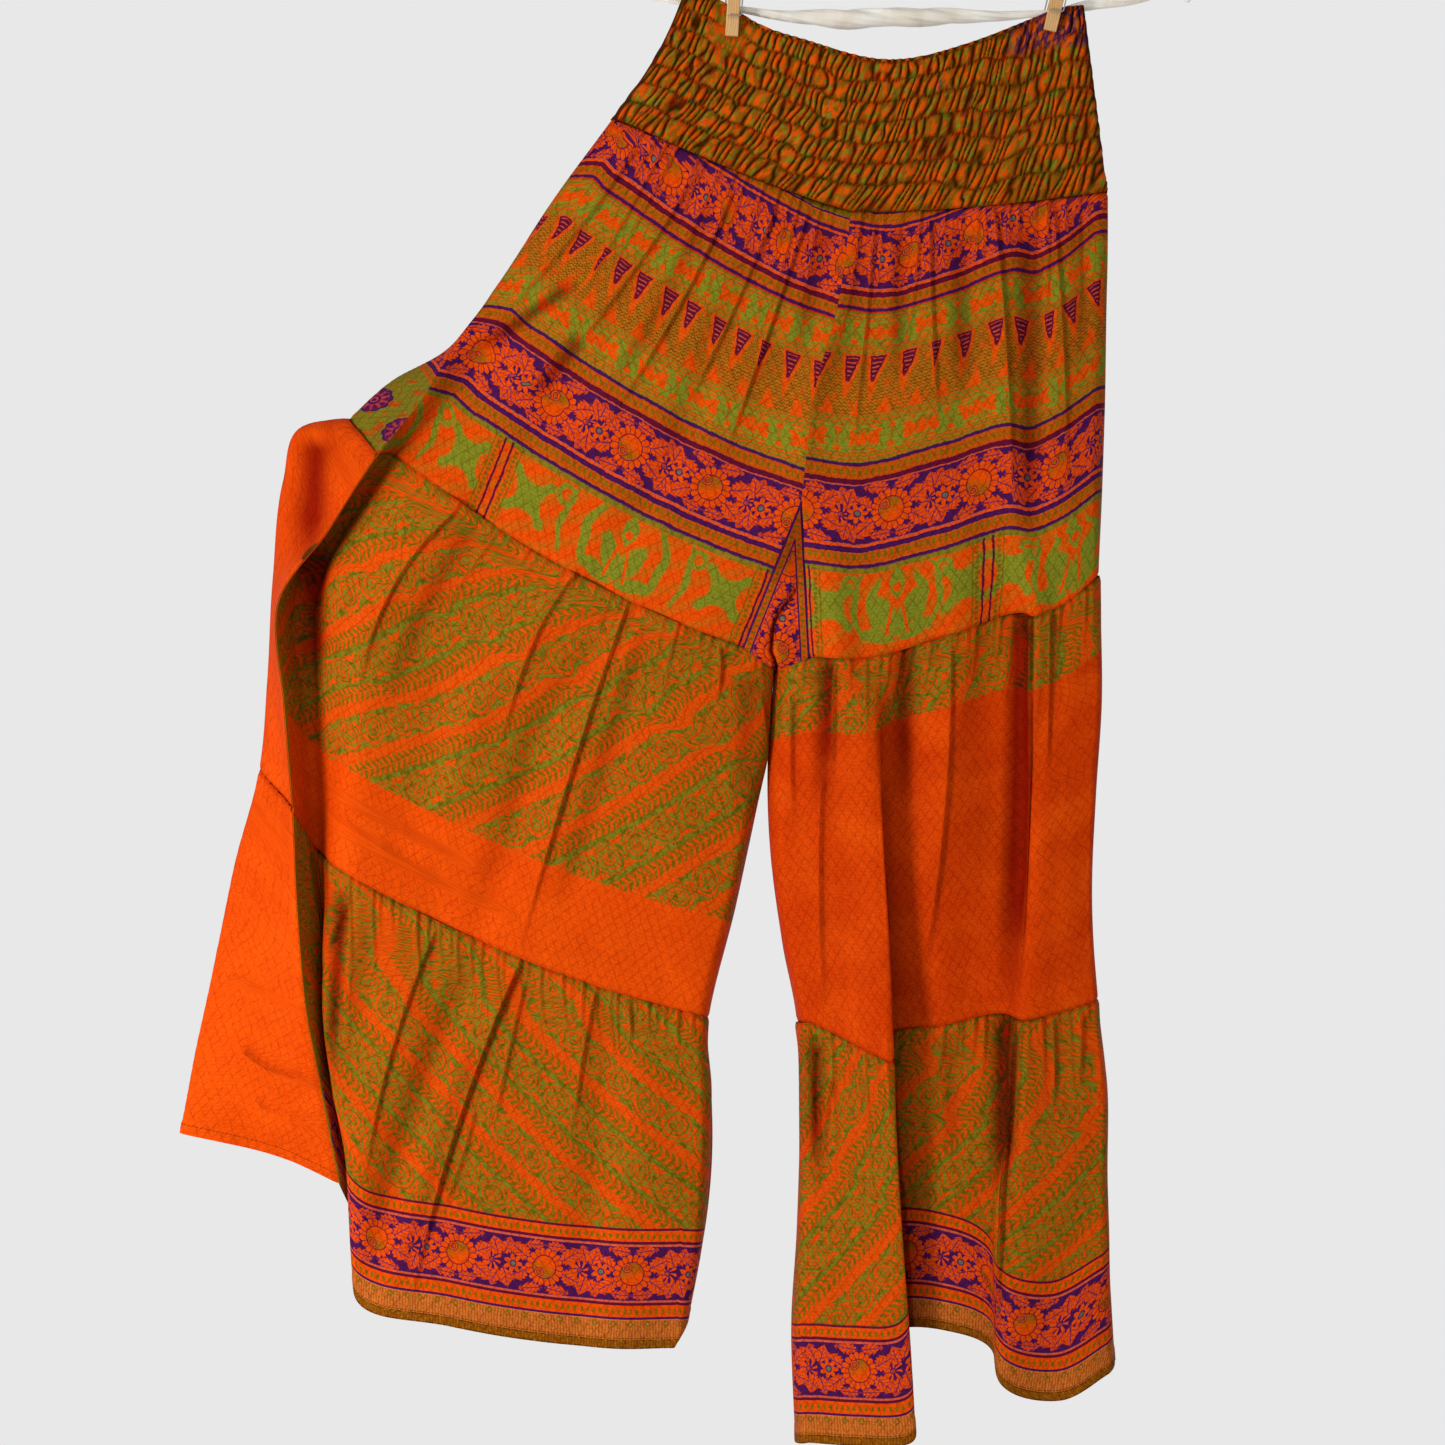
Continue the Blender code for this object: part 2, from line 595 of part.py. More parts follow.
def cloth_wall(name, grid, out, heights, layer, colour):
    """A wall of cloth on both sides of a surface, moved out by the heights of its folds and gathers."""
    folded = grid + out * heights[:, :, None]
    thick = out.copy()
    thick[1:-1, 1:-1] = normals(folded)[1:-1, 1:-1] * (-1 if layer == "back" else 1)
    outer = folded + thick * CLOTH / 2
    inner = folded - thick * CLOTH / 2
    return facing_wall(name, outer, inner, tuple(range(len(grid))), layer, colour)


def facing_wall(name, outer, inner, inner_rows, layer, colour):
    """A wall in its place behind the line's front, with its columns in the order that its layer needs."""
    outer[:, :, 1] += GARMENT_Y
    inner[:, :, 1] += GARMENT_Y
    if layer == "back":
        outer = outer[:, ::-1]
        inner = inner[:, ::-1]
    return wall(name, outer, inner, inner_rows, colour)


def margined_row(kind, side, layer, station):
    """One row of a panel from its side seam, with the neighbours' next points at both ends."""
    columns = 2 * GATHERS[kind].waves
    make_row = hip_row if kind == "hip" else leg_row
    other_layer = {"front": "back", "back": "front"}[layer]
    points = make_row(side, layer, station, columns)
    other = make_row(side, other_layer, station, columns)
    beyond = other
    if kind == "hip":
        beyond = make_row({"left": "right", "right": "left"}[side], layer, station, columns)
    return np.vstack([other[1:2], points, beyond[-2:-1]])


def tier_panel(kind, side, layer, colour):
    """One panel of a tier, between its seams."""
    first = {"hip": 0, "tier2": 1, "tier3": 2}[kind]
    name = f"{kind}_{side}_{layer}"
    tier_rows = TIER_ROWS[kind]
    parts = [-SEAM_STEP, *tier_rows, 1 + SEAM_STEP]
    stations = [first + SEAM_STEP + part * (1 - 2 * SEAM_STEP) for part in parts]
    margined = np.array([margined_row(kind, side, layer, max(station, first)) for station in stations])
    folds = fold_heights(name, margined[1:-1, 1:-1], tier_rows)
    if side == "right":
        margined = margined[:, ::-1]
        folds = folds[:, ::-1]
    grid, out = cut_seams(margined)
    if layer == "back":
        out = -out
    heights = folds + gather_heights(kind, out, tier_rows)
    return cloth_wall(name, grid, out, heights, layer, colour)


def waist_row(layer, count):
    """The waist seam from the left side seam to the right one."""
    left = hip_row("left", layer, 0.0, WAIST_POINTS)
    right = hip_row("right", layer, 0.0, WAIST_POINTS)[::-1]
    return even(np.vstack([left, right[1:]]), count)


def peg_grip(grid):
    """How far the band is pressed flat at each point: fully between the jaws of a peg."""
    held = np.zeros(grid.shape[:2])
    for peg in PEGS:
        beside = (grid[:, :, 0] / MM - peg.x) / GRIP_REACH
        over = np.clip((grid[:, :, 2] / MM - peg.z + GRIP_BELOW) / GRIP_EASE, 0, 1)
        held = np.maximum(held, np.exp(-beside ** 4) * over)
    return held


def band_rows(layer):
    """Rows of the waistband from its top edge to the waist seam, without its puffs."""
    sign = -1 if layer == "front" else 1
    count = 2 * BAND_GATHERS + 1
    low = waist_row(layer, count)
    places = [row.across for row in BAND_TOP]
    table = spline(places, [(row.x, row.z, row.bow) for row in BAND_TOP], np.linspace(0, 1, count))
    top = np.stack([table[:, 0], sign * table[:, 2], table[:, 1]], axis=1) * MM
    top[[0, -1], 1] = 0
    row_count = 2 * BAND_ELASTICS - 1
    drop = (low - top) * (1 - SEAM_GAP / np.linalg.norm(low - top, axis=1, keepdims=True))
    parts = np.linspace(0, 1, row_count)[:, None, None]
    rows = top + drop * parts
    rows[:, :, 1] = top[:, 1] + drop[:, 1] * parts[:, :, 0] ** BAND_FLARE
    rows[:, :, 0] += BAND_HOLLOW * np.sin(math.pi * parts[:, :, 0]) * (1 - np.linspace(0, 1, count)) ** 4
    return rows


def waistband(layer):
    """Shirred waistband: puffs between its elastics, raised on the outside of a plain inside."""
    rows = band_rows(layer)
    other = band_rows({"front": "back", "back": "front"}[layer])
    margined = np.concatenate([other[:, 1:2], rows, other[:, -2:-1]], axis=1)
    above = 2 * margined[0] - margined[1]
    below = 2 * margined[-1] - margined[-2]
    grid, out = cut_seams(np.concatenate([above[None], margined, below[None]]))
    if layer == "back":
        out = -out
    row_count, count = grid.shape[:2]
    column = np.arange(count)[None, :]
    puff = BAND_PUFF * (np.arange(row_count)[:, None] % 2)
    pleat = BAND_PLEAT * (1 + np.cos(math.pi * column))
    ends = np.sin(math.pi * column / (count - 1)) ** BAND_END_EASE
    held = peg_grip(grid)
    raised = (puff + pleat) * ends * (1 - GRIP_HOLD * held)
    inner = grid - out * CLOTH / 2
    outer = grid + out * (CLOTH / 2 + raised)[:, :, None]
    return facing_wall(f"waistband_{layer}", outer, inner, (0, row_count // 2, row_count - 1), layer, "print")


def gusset():
    """Kite-shaped gusset: down the front from the foot of the centre seam, under the crotch and up the back."""
    pairs = []
    for layer, order in (("front", 1), ("back", -1)):
        half = []
        for station in np.linspace(APEX + GUSSET_START, 1 - SEAM_STEP, GUSSET_ROWS):
            half.append([centre_point(side, layer, station) for side in ("left", "right")])
        under = []
        for side in ("left", "right"):
            edge = leg_row(side, layer, 1.0, 2 * GATHERS["tier2"].waves)[-TIP_COLUMNS:]
            edge[:, 2] += GUSSET_LIFT
            under.append(edge)
        half += list(zip(*under))
        if layer == "back":
            half = half[:-1]
        pairs.extend(half[::order])
    grid = []
    for left, right in pairs:
        inset = unit(right - left) * SEAM_GAP
        grid.append([left + inset + (right - left - 2 * inset) * part for part in GUSSET_COLUMNS])
    grid = np.array(grid)
    heights = np.zeros(grid.shape[:2])
    return cloth_wall("gusset", grid, normals(grid), heights, "front", "border")


# Line and pegs

def wire(name, route, radius, radii, resolution, colour):
    """Round wire or cord through the points of a route, with closed ends and its radius changed by the radii."""
    curve = bpy.data.curves.new(name, "CURVE")
    curve.dimensions = "3D"
    line = curve.splines.new("POLY")
    line.points.add(len(route) - 1)
    for place, spot, part in zip(line.points, route, radii):
        place.co = (*spot, 1.0)
        place.radius = part
    curve.bevel_depth = radius
    curve.bevel_resolution = resolution
    curve.use_fill_caps = True
    obj = bpy.data.objects.new(name, curve)
    bpy.context.scene.collection.objects.link(obj)
    curve.materials.append(material(name, colour))
    return obj


def cloth_line():
    """Twisted cloth line, thin where the pegs grip it, with a knot at each end."""
    places = np.array([(row.x, row.y, row.z) for row in LINE]) * MM
    run = np.concatenate([[0.0], np.cumsum(np.linalg.norm(np.diff(places, axis=0), axis=1))])
    at = np.linspace(0, run[-1], LINE_POINTS)
    points = spline(run, places, at)
    parts = spline(run, [[row.radius * MM / LINE_RADIUS] for row in LINE], at)[:, 0]
    wire("line", points, LINE_RADIUS, parts, LINE_BEVEL, "line")
    for side, end, inward in (("left", points[0], points[1]), ("right", points[-1], points[-2])):
        away = (end - inward) / np.linalg.norm(end - inward)
        knot(f"line_knot_{side}", end + away * (KNOT_RADIUS + SEAM_GAP), away)


def knot(name, centre, away):
    """Overhand knot at an end of the line: a lumpy ball, flat where it meets the line, with a short tail."""
    across = np.array([0.0, 1.0, 0.0])
    upward = np.cross(away, across)
    verts = []
    for reach, girth in KNOT_PROFILE:
        for k in range(KNOT_SIDES):
            angle = 2 * math.pi * k / KNOT_SIDES + KNOT_TWIST * reach
            ring = across * math.cos(angle) + upward * math.sin(angle)
            verts.append(centre + KNOT_RADIUS * (away * reach + ring * girth))
    faces = []
    for i in range(len(KNOT_PROFILE) - 1):
        for k in range(KNOT_SIDES):
            a = i * KNOT_SIDES + k
            b = i * KNOT_SIDES + (k + 1) % KNOT_SIDES
            faces.append((a, b, b + KNOT_SIDES, a + KNOT_SIDES))
    faces.append(tuple(range(KNOT_SIDES))[::-1])
    last = (len(KNOT_PROFILE) - 1) * KNOT_SIDES
    faces.append(tuple(range(last, last + KNOT_SIDES)))
    return add_mesh(name, verts, faces, "line")


def peg_place(peg, across, out, up):
    """World place of a point given in a peg's own frame."""
    x = peg.x * MM + across * math.cos(peg.lean) + up * math.sin(peg.lean)
    z = peg.z * MM - across * math.sin(peg.lean) + up * math.cos(peg.lean)
    return np.array([x, GARMENT_Y + out, z])


def peg_half(peg, layer):
    sign = -1 if layer == "front" else 1
    outline = PEG_FRONT if layer == "front" else PEG_BACK
    verts = []
    for across in (-PEG_WIDTH / 2, PEG_WIDTH / 2):
        for out, up in outline:
            verts.append(peg_place(peg, across, sign * out * MM, up * MM))
    count = len(outline)
    faces = [tuple(range(count)), tuple(range(2 * count - 1, count - 1, -1))]
    for i in range(count):
        j = (i + 1) % count
        faces.append((j, i, i + count, j + count))
    if layer == "front":
        faces = [face[::-1] for face in faces]
    return add_mesh(f"peg_{peg.side}_{layer}", verts, faces, "wood")


def peg_spring(peg):
    """Wire spring: a coil between the halves, and an arm over the outside of each half."""
    arm = PEG_WIDTH / 2 - SPRING_INSET
    front = -(JAW_DEPTH + SPRING_STAND * SPRING_WIRE)
    back = JAW_DEPTH + SPRING_BACK + SPRING_STAND * SPRING_WIRE
    shoulder = SPRING_HOOK_HEIGHT + SPRING_SHOULDER
    elbow = SPRING_HEIGHT - SPRING_ELBOW
    route = [
        (-arm, front, SPRING_HOOK_HEIGHT),
        (arm, front, SPRING_HOOK_HEIGHT),
        (SPRING_SIDE, front, shoulder),
        (SPRING_SIDE, front + SPRING_WIRE, elbow),
    ]
    steps = SPRING_SIDES * SPRING_TURNS
    reach = SPRING_SIDE - SPRING_CLEAR * SPRING_WIRE
    for i in range(steps + 1):
        angle = math.pi + math.pi * (2 * SPRING_TURNS - 1) * i / steps
        across = SPRING_SIDE * (1 - 2 * i / steps)
        if 0 < i < steps:
            across = max(-reach, min(reach, across))
        route.append((across, SPRING_COIL * math.cos(angle), SPRING_HEIGHT - SPRING_COIL * math.sin(angle)))
    route += [
        (-SPRING_SIDE, back - SPRING_WIRE, elbow),
        (-SPRING_SIDE, back, shoulder),
        (-arm, back, SPRING_HOOK_HEIGHT),
        (arm, back, SPRING_HOOK_HEIGHT),
    ]
    places = [peg_place(peg, across, out, up) for across, out, up in route]
    return wire(f"peg_{peg.side}_spring", places, SPRING_WIRE, [1.0] * len(places), 1, "steel")


def main():
    clear_scene()
    waistband("front")
    waistband("back")
    for side in ("left", "right"):
        for layer in ("front", "back"):
            tier_panel("hip", side, layer, "print")
            tier_panel("tier2", side, layer, "print" if (side, layer) == ("left", "front") else "plain")
            tier_panel("tier3", side, layer, "print" if layer == "front" else "plain")
    gusset()
    cloth_line()
    for peg in PEGS:
        peg_half(peg, "front")
        peg_half(peg, "back")
        peg_spring(peg)


main()
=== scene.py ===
"""Looks of the tiered palazzo pants, pegged by the shirred waistband to a twisted cloth line.

Metres, +Z up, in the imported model's own frame. Stations run down the garment: 0 the waist seam, 1 the foot of
tier 1, 2 the foot of tier 2 and 3 the hem. The tables hold millimetres, and prints are worked out in them.
"""
import math
from collections import namedtuple

import bpy
import numpy as np
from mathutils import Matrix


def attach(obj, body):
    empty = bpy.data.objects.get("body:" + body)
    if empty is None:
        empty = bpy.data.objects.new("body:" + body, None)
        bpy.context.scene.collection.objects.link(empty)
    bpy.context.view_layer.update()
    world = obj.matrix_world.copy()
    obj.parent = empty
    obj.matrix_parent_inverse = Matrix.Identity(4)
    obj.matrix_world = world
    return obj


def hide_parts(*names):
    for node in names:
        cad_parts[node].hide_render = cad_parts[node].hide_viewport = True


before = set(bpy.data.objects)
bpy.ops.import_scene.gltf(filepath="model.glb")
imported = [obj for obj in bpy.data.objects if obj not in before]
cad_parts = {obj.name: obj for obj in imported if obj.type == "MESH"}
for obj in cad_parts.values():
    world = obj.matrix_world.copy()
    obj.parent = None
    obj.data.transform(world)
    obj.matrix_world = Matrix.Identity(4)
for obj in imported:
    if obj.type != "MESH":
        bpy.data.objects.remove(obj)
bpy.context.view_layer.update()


def rows(fields, table):
    """The rows of a table, with names for their values."""
    kind = namedtuple("Row", fields)
    return [kind(*values) for values in table]


def by_panel(fields, tables):
    """Tables of named rows, by the panel that they are on."""
    return {panel: rows(fields, table) for panel, table in tables.items()}


# Driving dimensions, as in the part's source
MM = 0.001
GARMENT_Y = -5.7 * MM
SIDES = ("left", "right")
SIGN = {"front": -1, "back": 1}
TIERS = ("hip", "tier2", "tier3")
APEX = 0.65
ROW_COLUMNS = 200
TIP_COLUMNS = 6
FINE_STEPS = 400

# Waistband: top edge from the left side seam to the right one, and how far each layer bows out at the top
BAND_TOP = rows("across x z bow", [
    (0.00, -152, 21, 1.4), (0.13, -118, 4, 1.2), (0.18, -103, -6, 1.8), (0.32, -62, -22, 8.0),
    (0.52, -3, -37, 13.0), (0.72, 57, -24, 8.0), (0.85, 102, -6, 1.8), (0.90, 119, 1, 1.2),
    (1.00, 143, 5, 1.4),
])
BAND_FLARE = 1.7
BAND_HOLLOW = 6 * MM

# Centre seam of tier 1, front and back alike, down to the tip of the gusset
CENTRE = rows("station x z depth", [
    (0.00, -30, -147, 16), (0.20, -39, -212, 20), (0.45, -58, -285, 24), (APEX, -67, -361, 26),
])

# Side seams of tier 1. On the left the back panel comes round to the front, as far as its edge
SIDE_FIELDS = "station seam_x seam_y seam_z edge_x edge_z"
HIP_SIDES = {
    "left": rows(SIDE_FIELDS, [
        (0.00, -206, -3, -76, -207, -77), (0.20, -246, -3, -132, -247, -132),
        (0.45, -288, -4, -198, -290, -198), (0.65, -318, -14, -239, -324, -243),
        (0.82, -345, -28, -286, -368, -268), (1.00, -377, -34, -327, -401, -297),
    ]),
    "right": rows(SIDE_FIELDS, [
        (0.00, 160, 0, -131, 160, -131), (0.20, 160, 0, -188, 160, -188), (0.45, 159, 0, -252, 159, -252),
        (0.65, 158, 0, -311, 158, -311), (0.82, 156, 0, -366, 156, -366), (1.00, 153, 0, -414, 153, -414),
    ]),
}

# Left leg: the inseam, the side seam on its forward fold, the valley behind that fold, the ridge where the
# front panel lies forward again, and the outer edge
LEFT_FIELDS = (
    "station in_x in_y in_z seam_x seam_y seam_z valley_x valley_y valley_z ridge_x ridge_y ridge_z"
    " edge_x edge_z rise turn depth sag back_sag heel"
)
LEG_LEFT = rows(LEFT_FIELDS, [
    (1.00, -86, -6, -480, -377, -34, -327, -368, -14, -325, -354, -24, -335, -401, -297, 0, 27, 26, 13, 0, 0),
    (1.10, -88, -6, -504, -392, -35, -350, -385, -12, -347, -372, -23, -355, -436, -304, 0, 24, 25, 12, 0, 0),
    (1.25, -90, -5, -539, -413, -37, -384, -409, -9, -381, -398, -22, -386, -449, -343, 0, 20, 24, 10, 0, 0),
    (1.50, -100, 0, -591, -449, -38, -436, -433, -5, -436, -421, -20, -438, -457, -417, 0, 12, 22, 6, 0, 0),
    (1.75, -115, 0, -658, -445, -36, -510, -428, -5, -517, -416, -19, -520, -461, -491, 0, 10, 21, 6, 0, 0),
    (2.00, -135, 0, -741, -439, -34, -586, -423, -4, -619, -411, -19, -627, -467, -557, 0, 10, 20, 12, 0, 0),
    (2.25, -133, 0, -795, -436, -33, -654, -418, -3, -672, -417, -20, -680, -485, -626, 0, 10, 21, 12, -5, 0),
    (2.5, -134, 0, -854, -430, -31, -728, -411, -2, -744, -418, -21, -752, -500, -699, 0, 10, 22, 13, -10, 2),
    (2.75, -139, 0, -907, -420, -22, -788, -402, 0, -824, -406, -22, -842, -514, -765, 2, 10, 23, 13, -18, 8),
    (3.00, -150, 0, -963, -408, -6, -863, -394, 4, -905, -396, -20, -946, -525, -826, 5, 10, 24, 10, -26, 20),
])

# Right leg: the inseam, the edge of its forward lobe, the tuck behind that edge, the smaller fold over the
# tuck with how low it hangs in front and behind, and the side seam
RIGHT_FIELDS = (
    "station in_x in_y in_z lobe_x lobe_y lobe_z tuck_x tuck_y tuck_z fold_x front_z back_z side_x side_z"
    " turn depth sag back_sag arch"
)
LEG_RIGHT = rows(RIGHT_FIELDS, [
    (1.00, -87, 6, -482, -20, -27, -476, -6, -26, -473, 98, -445, -443, 153, -414, 27, 26, 6, 0, 0),
    (1.25, -91, 6, -547, -11, -31, -543, -8, -22, -533, 96, -518, -516, 155, -499, 20, 24, 4, 0, 0),
    (1.50, -89, 2, -617, -7, -34, -614, -9, -18, -597, 94, -587, -584, 151, -576, 12, 22, 2, -4, 0),
    (1.75, -81, 0, -684, -3, -36, -693, -8, -15, -668, 92, -662, -659, 149, -654, 10, 21, 2, -10, 0),
    (2.00, -70, 0, -744, 0, -38, -771, -5, -12, -754, 89, -741, -738, 153, -727, 10, 21, 2, -20, 1),
    (2.25, -68, 0, -817, 2, -38, -850, -4, -12, -802, 84, -805, -799, 160, -795, 10, 22, 4, -30, 3),
    (2.50, -70, 0, -898, 6, -38, -922, -2, -12, -862, 77, -869, -857, 160, -864, 10, 23, 9, -42, 6),
    (2.75, -74, 0, -972, 10, -38, -984, 1, -12, -912, 76, -931, -912, 162, -925, 10, 24, 14, -54, 9),
    (3.00, -71, 0, -1054, 13, -38, -1048, 4, -12, -970, 76, -1006, -984, 166, -994, 10, 25, 20, -66, 8),
])

# Layers of a leg: how full they are where they turn in, and places of their key points
TURN_FULLNESS = 0.8
EDGE_Y = 1
FLAP_PART = 0.25
LEFT_LAYER_PARTS = (0.3, 0.6, 0.85)
BACK_LAYER_PARTS = (0.06, 0.3, 0.6, 0.85)
RIGHT_BACK_PARTS = (0.08, 0.3, 0.6, 0.85)
SIDE_TURN_PART = 0.08
LOBE_FULLNESS = 1.25
LOBE_SAG = 0.1
FOLD_REACH = 2.5
FOLD_FRONT = 1.15
FOLD_BACK = 0.85
# Tier 1 from its top to its foot: depth and sag of its layers, and how late the legs' form starts
HIP_DEPTH = (12, 24)
HIP_SAG = (4, 12)
HIP_FADE = 3
HIP_KEY_PARTS = (0.08, 0.92)

# Line: its route from knot to knot, with its radius. It passes behind the band's left corner
LINE = rows("x y z radius", [
    (-215, 5, 33, 5.4), (-186, 5, 22, 5.4), (-155, 5, 13, 3.4), (-134, 3, 8, 2.6), (-115, 0, 6, 2.4),
    (-75, 0, 1, 4.4), (-30, 0, -1, 7.2), (0, 0, 0, 7.2), (58, 0, 1, 5.2), (100, 0, 2, 2.9),
    (121, 0, 4, 2.4), (145, 2, 9, 4.2), (180, 2, 15, 4.6), (214, 2, 23, 4.6),
])

# Pegs: the middle of the jaw tips and the lean to the right
PEGS = rows("side x z lean", [
    ("left", -118, -16, math.radians(4)),
    ("right", 117, -12, math.radians(13)),
])

# Cloth panels, with the flat size of each
PANELS = rows("kind side layer flat_width flat_length print_name seed", [
    ("hip", "left", "front", 305, 330, "hip_left", 3),
    ("hip", "right", "front", 225, 330, "hip_right", 5),
    ("hip", "left", "back", 330, 330, "hip_back", 7),
    ("hip", "right", "back", 225, 330, "hip_back", 8),
    ("tier2", "left", "front", 400, 300, "vine_left", 11),
    ("tier2", "right", "front", 300, 290, "vine_right", 12),
    ("tier2", "left", "back", 420, 300, "plain", 13),
    ("tier2", "right", "back", 290, 290, "plain", 14),
    ("tier3", "left", "front", 400, 280, "foot_left", 21),
    ("tier3", "right", "front", 310, 300, "foot_right", 22),
    ("tier3", "left", "back", 420, 280, "plain_foot", 23),
    ("tier3", "right", "back", 290, 300, "plain_foot", 24),
])

# Largest folds: place across the panel at its top and foot, 0 side to 1 inseam or centre, width and height
FOLDS = by_panel("top foot width height", {
    "hip_left_front": [(0.40, 0.30, 14, -4), (0.70, 0.62, 12, -4)],
    "hip_left_back": [(0.55, 0.50, 16, -5)],
    "hip_right_front": [(0.35, 0.25, 12, -4)],
    "hip_right_back": [(0.50, 0.45, 14, -4)],
    "tier2_left_front": [(0.20, 0.14, 16, -5), (0.56, 0.36, 16, 4), (0.66, 0.50, 14, -6)],
    "tier2_left_back": [(0.40, 0.34, 20, 8), (0.72, 0.62, 20, -7)],
    "tier2_right_front": [(0.20, 0.24, 13, -5), (0.45, 0.47, 13, 4)],
    "tier2_right_back": [(0.34, 0.30, 18, 8), (0.64, 0.60, 18, -7)],
    "tier3_left_front": [(0.30, 0.18, 16, -5), (0.52, 0.28, 14, -8), (0.78, 0.72, 16, -5)],
    "tier3_left_back": [(0.36, 0.30, 24, 10), (0.66, 0.58, 24, -9)],
    "tier3_right_front": [(0.62, 0.70, 14, -4)],
    "tier3_right_back": [(0.30, 0.24, 20, 10), (0.58, 0.56, 20, -9)],
})
FOLD_START = 0.12
FOLD_RUN = 0.76

# Gathers at the top of each tier: how far apart they start, how deep they are and how far down they run, in
# parts of the tier. Some are long
GATHERS = dict(zip(TIERS, rows("pitch depth run long_run width", [
    (10.5, 1.3, 0.16, 0.45, 2.6),
    (10.0, 1.1, 0.09, 0.30, 2.8),
    (9.0, 1.3, 0.12, 0.40, 2.8),
])))

# Main creases, placed in the garment's own millimetres: three points of each, seen from the front,
# how high the cloth stands on its left side, and how far that reaches
CREASES = by_panel("x0 z0 x1 z1 x2 z2 height reach", {
    "hip_left_front": [
        (-140, -112, -190, -190, -240, -254, 1.6, 6), (-116, -128, -155, -214, -214, -309, 2.0, 7),
        (-84, -140, -121, -229, -150, -286, 1.6, 6), (-60, -142, -95, -247, -123, -326, 1.8, 6),
        (-186, -96, -236, -166, -300, -236, 1.6, 6),
    ],
    "hip_right_front": [
        (-12, -150, -20, -240, -30, -330, 1.4, 5), (28, -146, 30, -230, 34, -300, 1.6, 6),
        (74, -140, 84, -240, 90, -400, 1.8, 6), (118, -136, 126, -240, 128, -360, 1.5, 6),
    ],
    "tier2_left_front": [
        (-317, -366, -366, -424, -391, -500, 2.2, 8), (-229, -410, -262, -462, -289, -544, 2.0, 8),
        (-192, -429, -233, -551, -274, -690, 2.6, 9), (-127, -466, -126, -486, -129, -506, 1.6, 5),
        (-380, -610, -330, -640, -270, -668, 1.0, 5), (-362, -600, -330, -618, -290, -634, 0.9, 4),
        (-96, -500, -92, -560, -98, -640, 1.4, 8),
    ],
    "tier2_right_front": [
        (-44, -484, -44, -530, -46, -562, 2.0, 7), (-51, -560, -53, -640, -50, -740, 1.8, 8),
        (-74, -500, -74, -550, -72, -600, 1.6, 6), (43, -459, 38, -600, 20, -722, 1.8, 9),
        (97, -440, 97, -560, 88, -735, 3.4, 9), (115, -440, 116, -500, 114, -566, 1.6, 6),
    ],
    "tier3_left_front": [
        (-398, -648, -410, -676, -419, -703, 1.8, 7), (-334, -673, -366, -760, -387, -860, 2.0, 8),
        (-271, -694, -320, -821, -355, -955, 3.4, 10), (-269, -711, -282, -767, -292, -818, 1.5, 6),
        (-218, -720, -227, -767, -235, -826, 1.6, 6), (-196, -728, -192, -744, -194, -762, 1.2, 5),
        (-306, -806, -318, -850, -334, -890, 1.4, 5),
    ],
    "tier3_right_front": [
        (-44, -783, -49, -815, -51, -848, 1.6, 6), (-58, -760, -59, -800, -58, -840, 1.6, 5),
        (89, -740, 80, -860, 76, -1000, 3.6, 9), (94, -736, 91, -790, 89, -846, 1.4, 4),
        (118, -738, 119, -775, 118, -806, 1.4, 6), (140, -736, 139, -760, 138, -792, 1.4, 6),
    ],
    "tier2_left_back": [
        (-330, -390, -300, -500, -310, -620, 2.6, 9), (-220, -450, -210, -560, -230, -700, 2.4, 9),
        (-150, -480, -146, -560, -160, -650, 2.0, 8),
    ],
    "tier2_right_back": [(10, -470, 16, -600, 10, -740, 2.8, 9), (90, -440, 84, -540, 92, -640, 2.2, 8)],
    "tier3_left_back": [
        (-380, -690, -350, -780, -370, -880, 2.6, 9), (-260, -720, -236, -830, -250, -930, 3.0, 10),
    ],
    "tier3_left_flap": [
        (-481, -762, -446, -782, -413, -776, 2.6, 8), (-489, -711, -476, -714, -462, -721, 1.8, 6),
        (-470, -800, -450, -812, -420, -806, 1.6, 6),
    ],
    "tier3_right_back": [
        (20, -760, 26, -870, 16, -1000, 3.0, 10), (100, -750, 96, -840, 104, -930, 2.2, 8),
    ],
    "hip_left_back": [
        (-150, -120, -180, -230, -230, -350, 2.2, 8), (-90, -140, -104, -250, -130, -380, 2.0, 8),
    ],
    "hip_right_back": [(30, -146, 34, -260, 30, -400, 2.0, 8), (96, -140, 100, -250, 96, -370, 2.0, 8)],
})
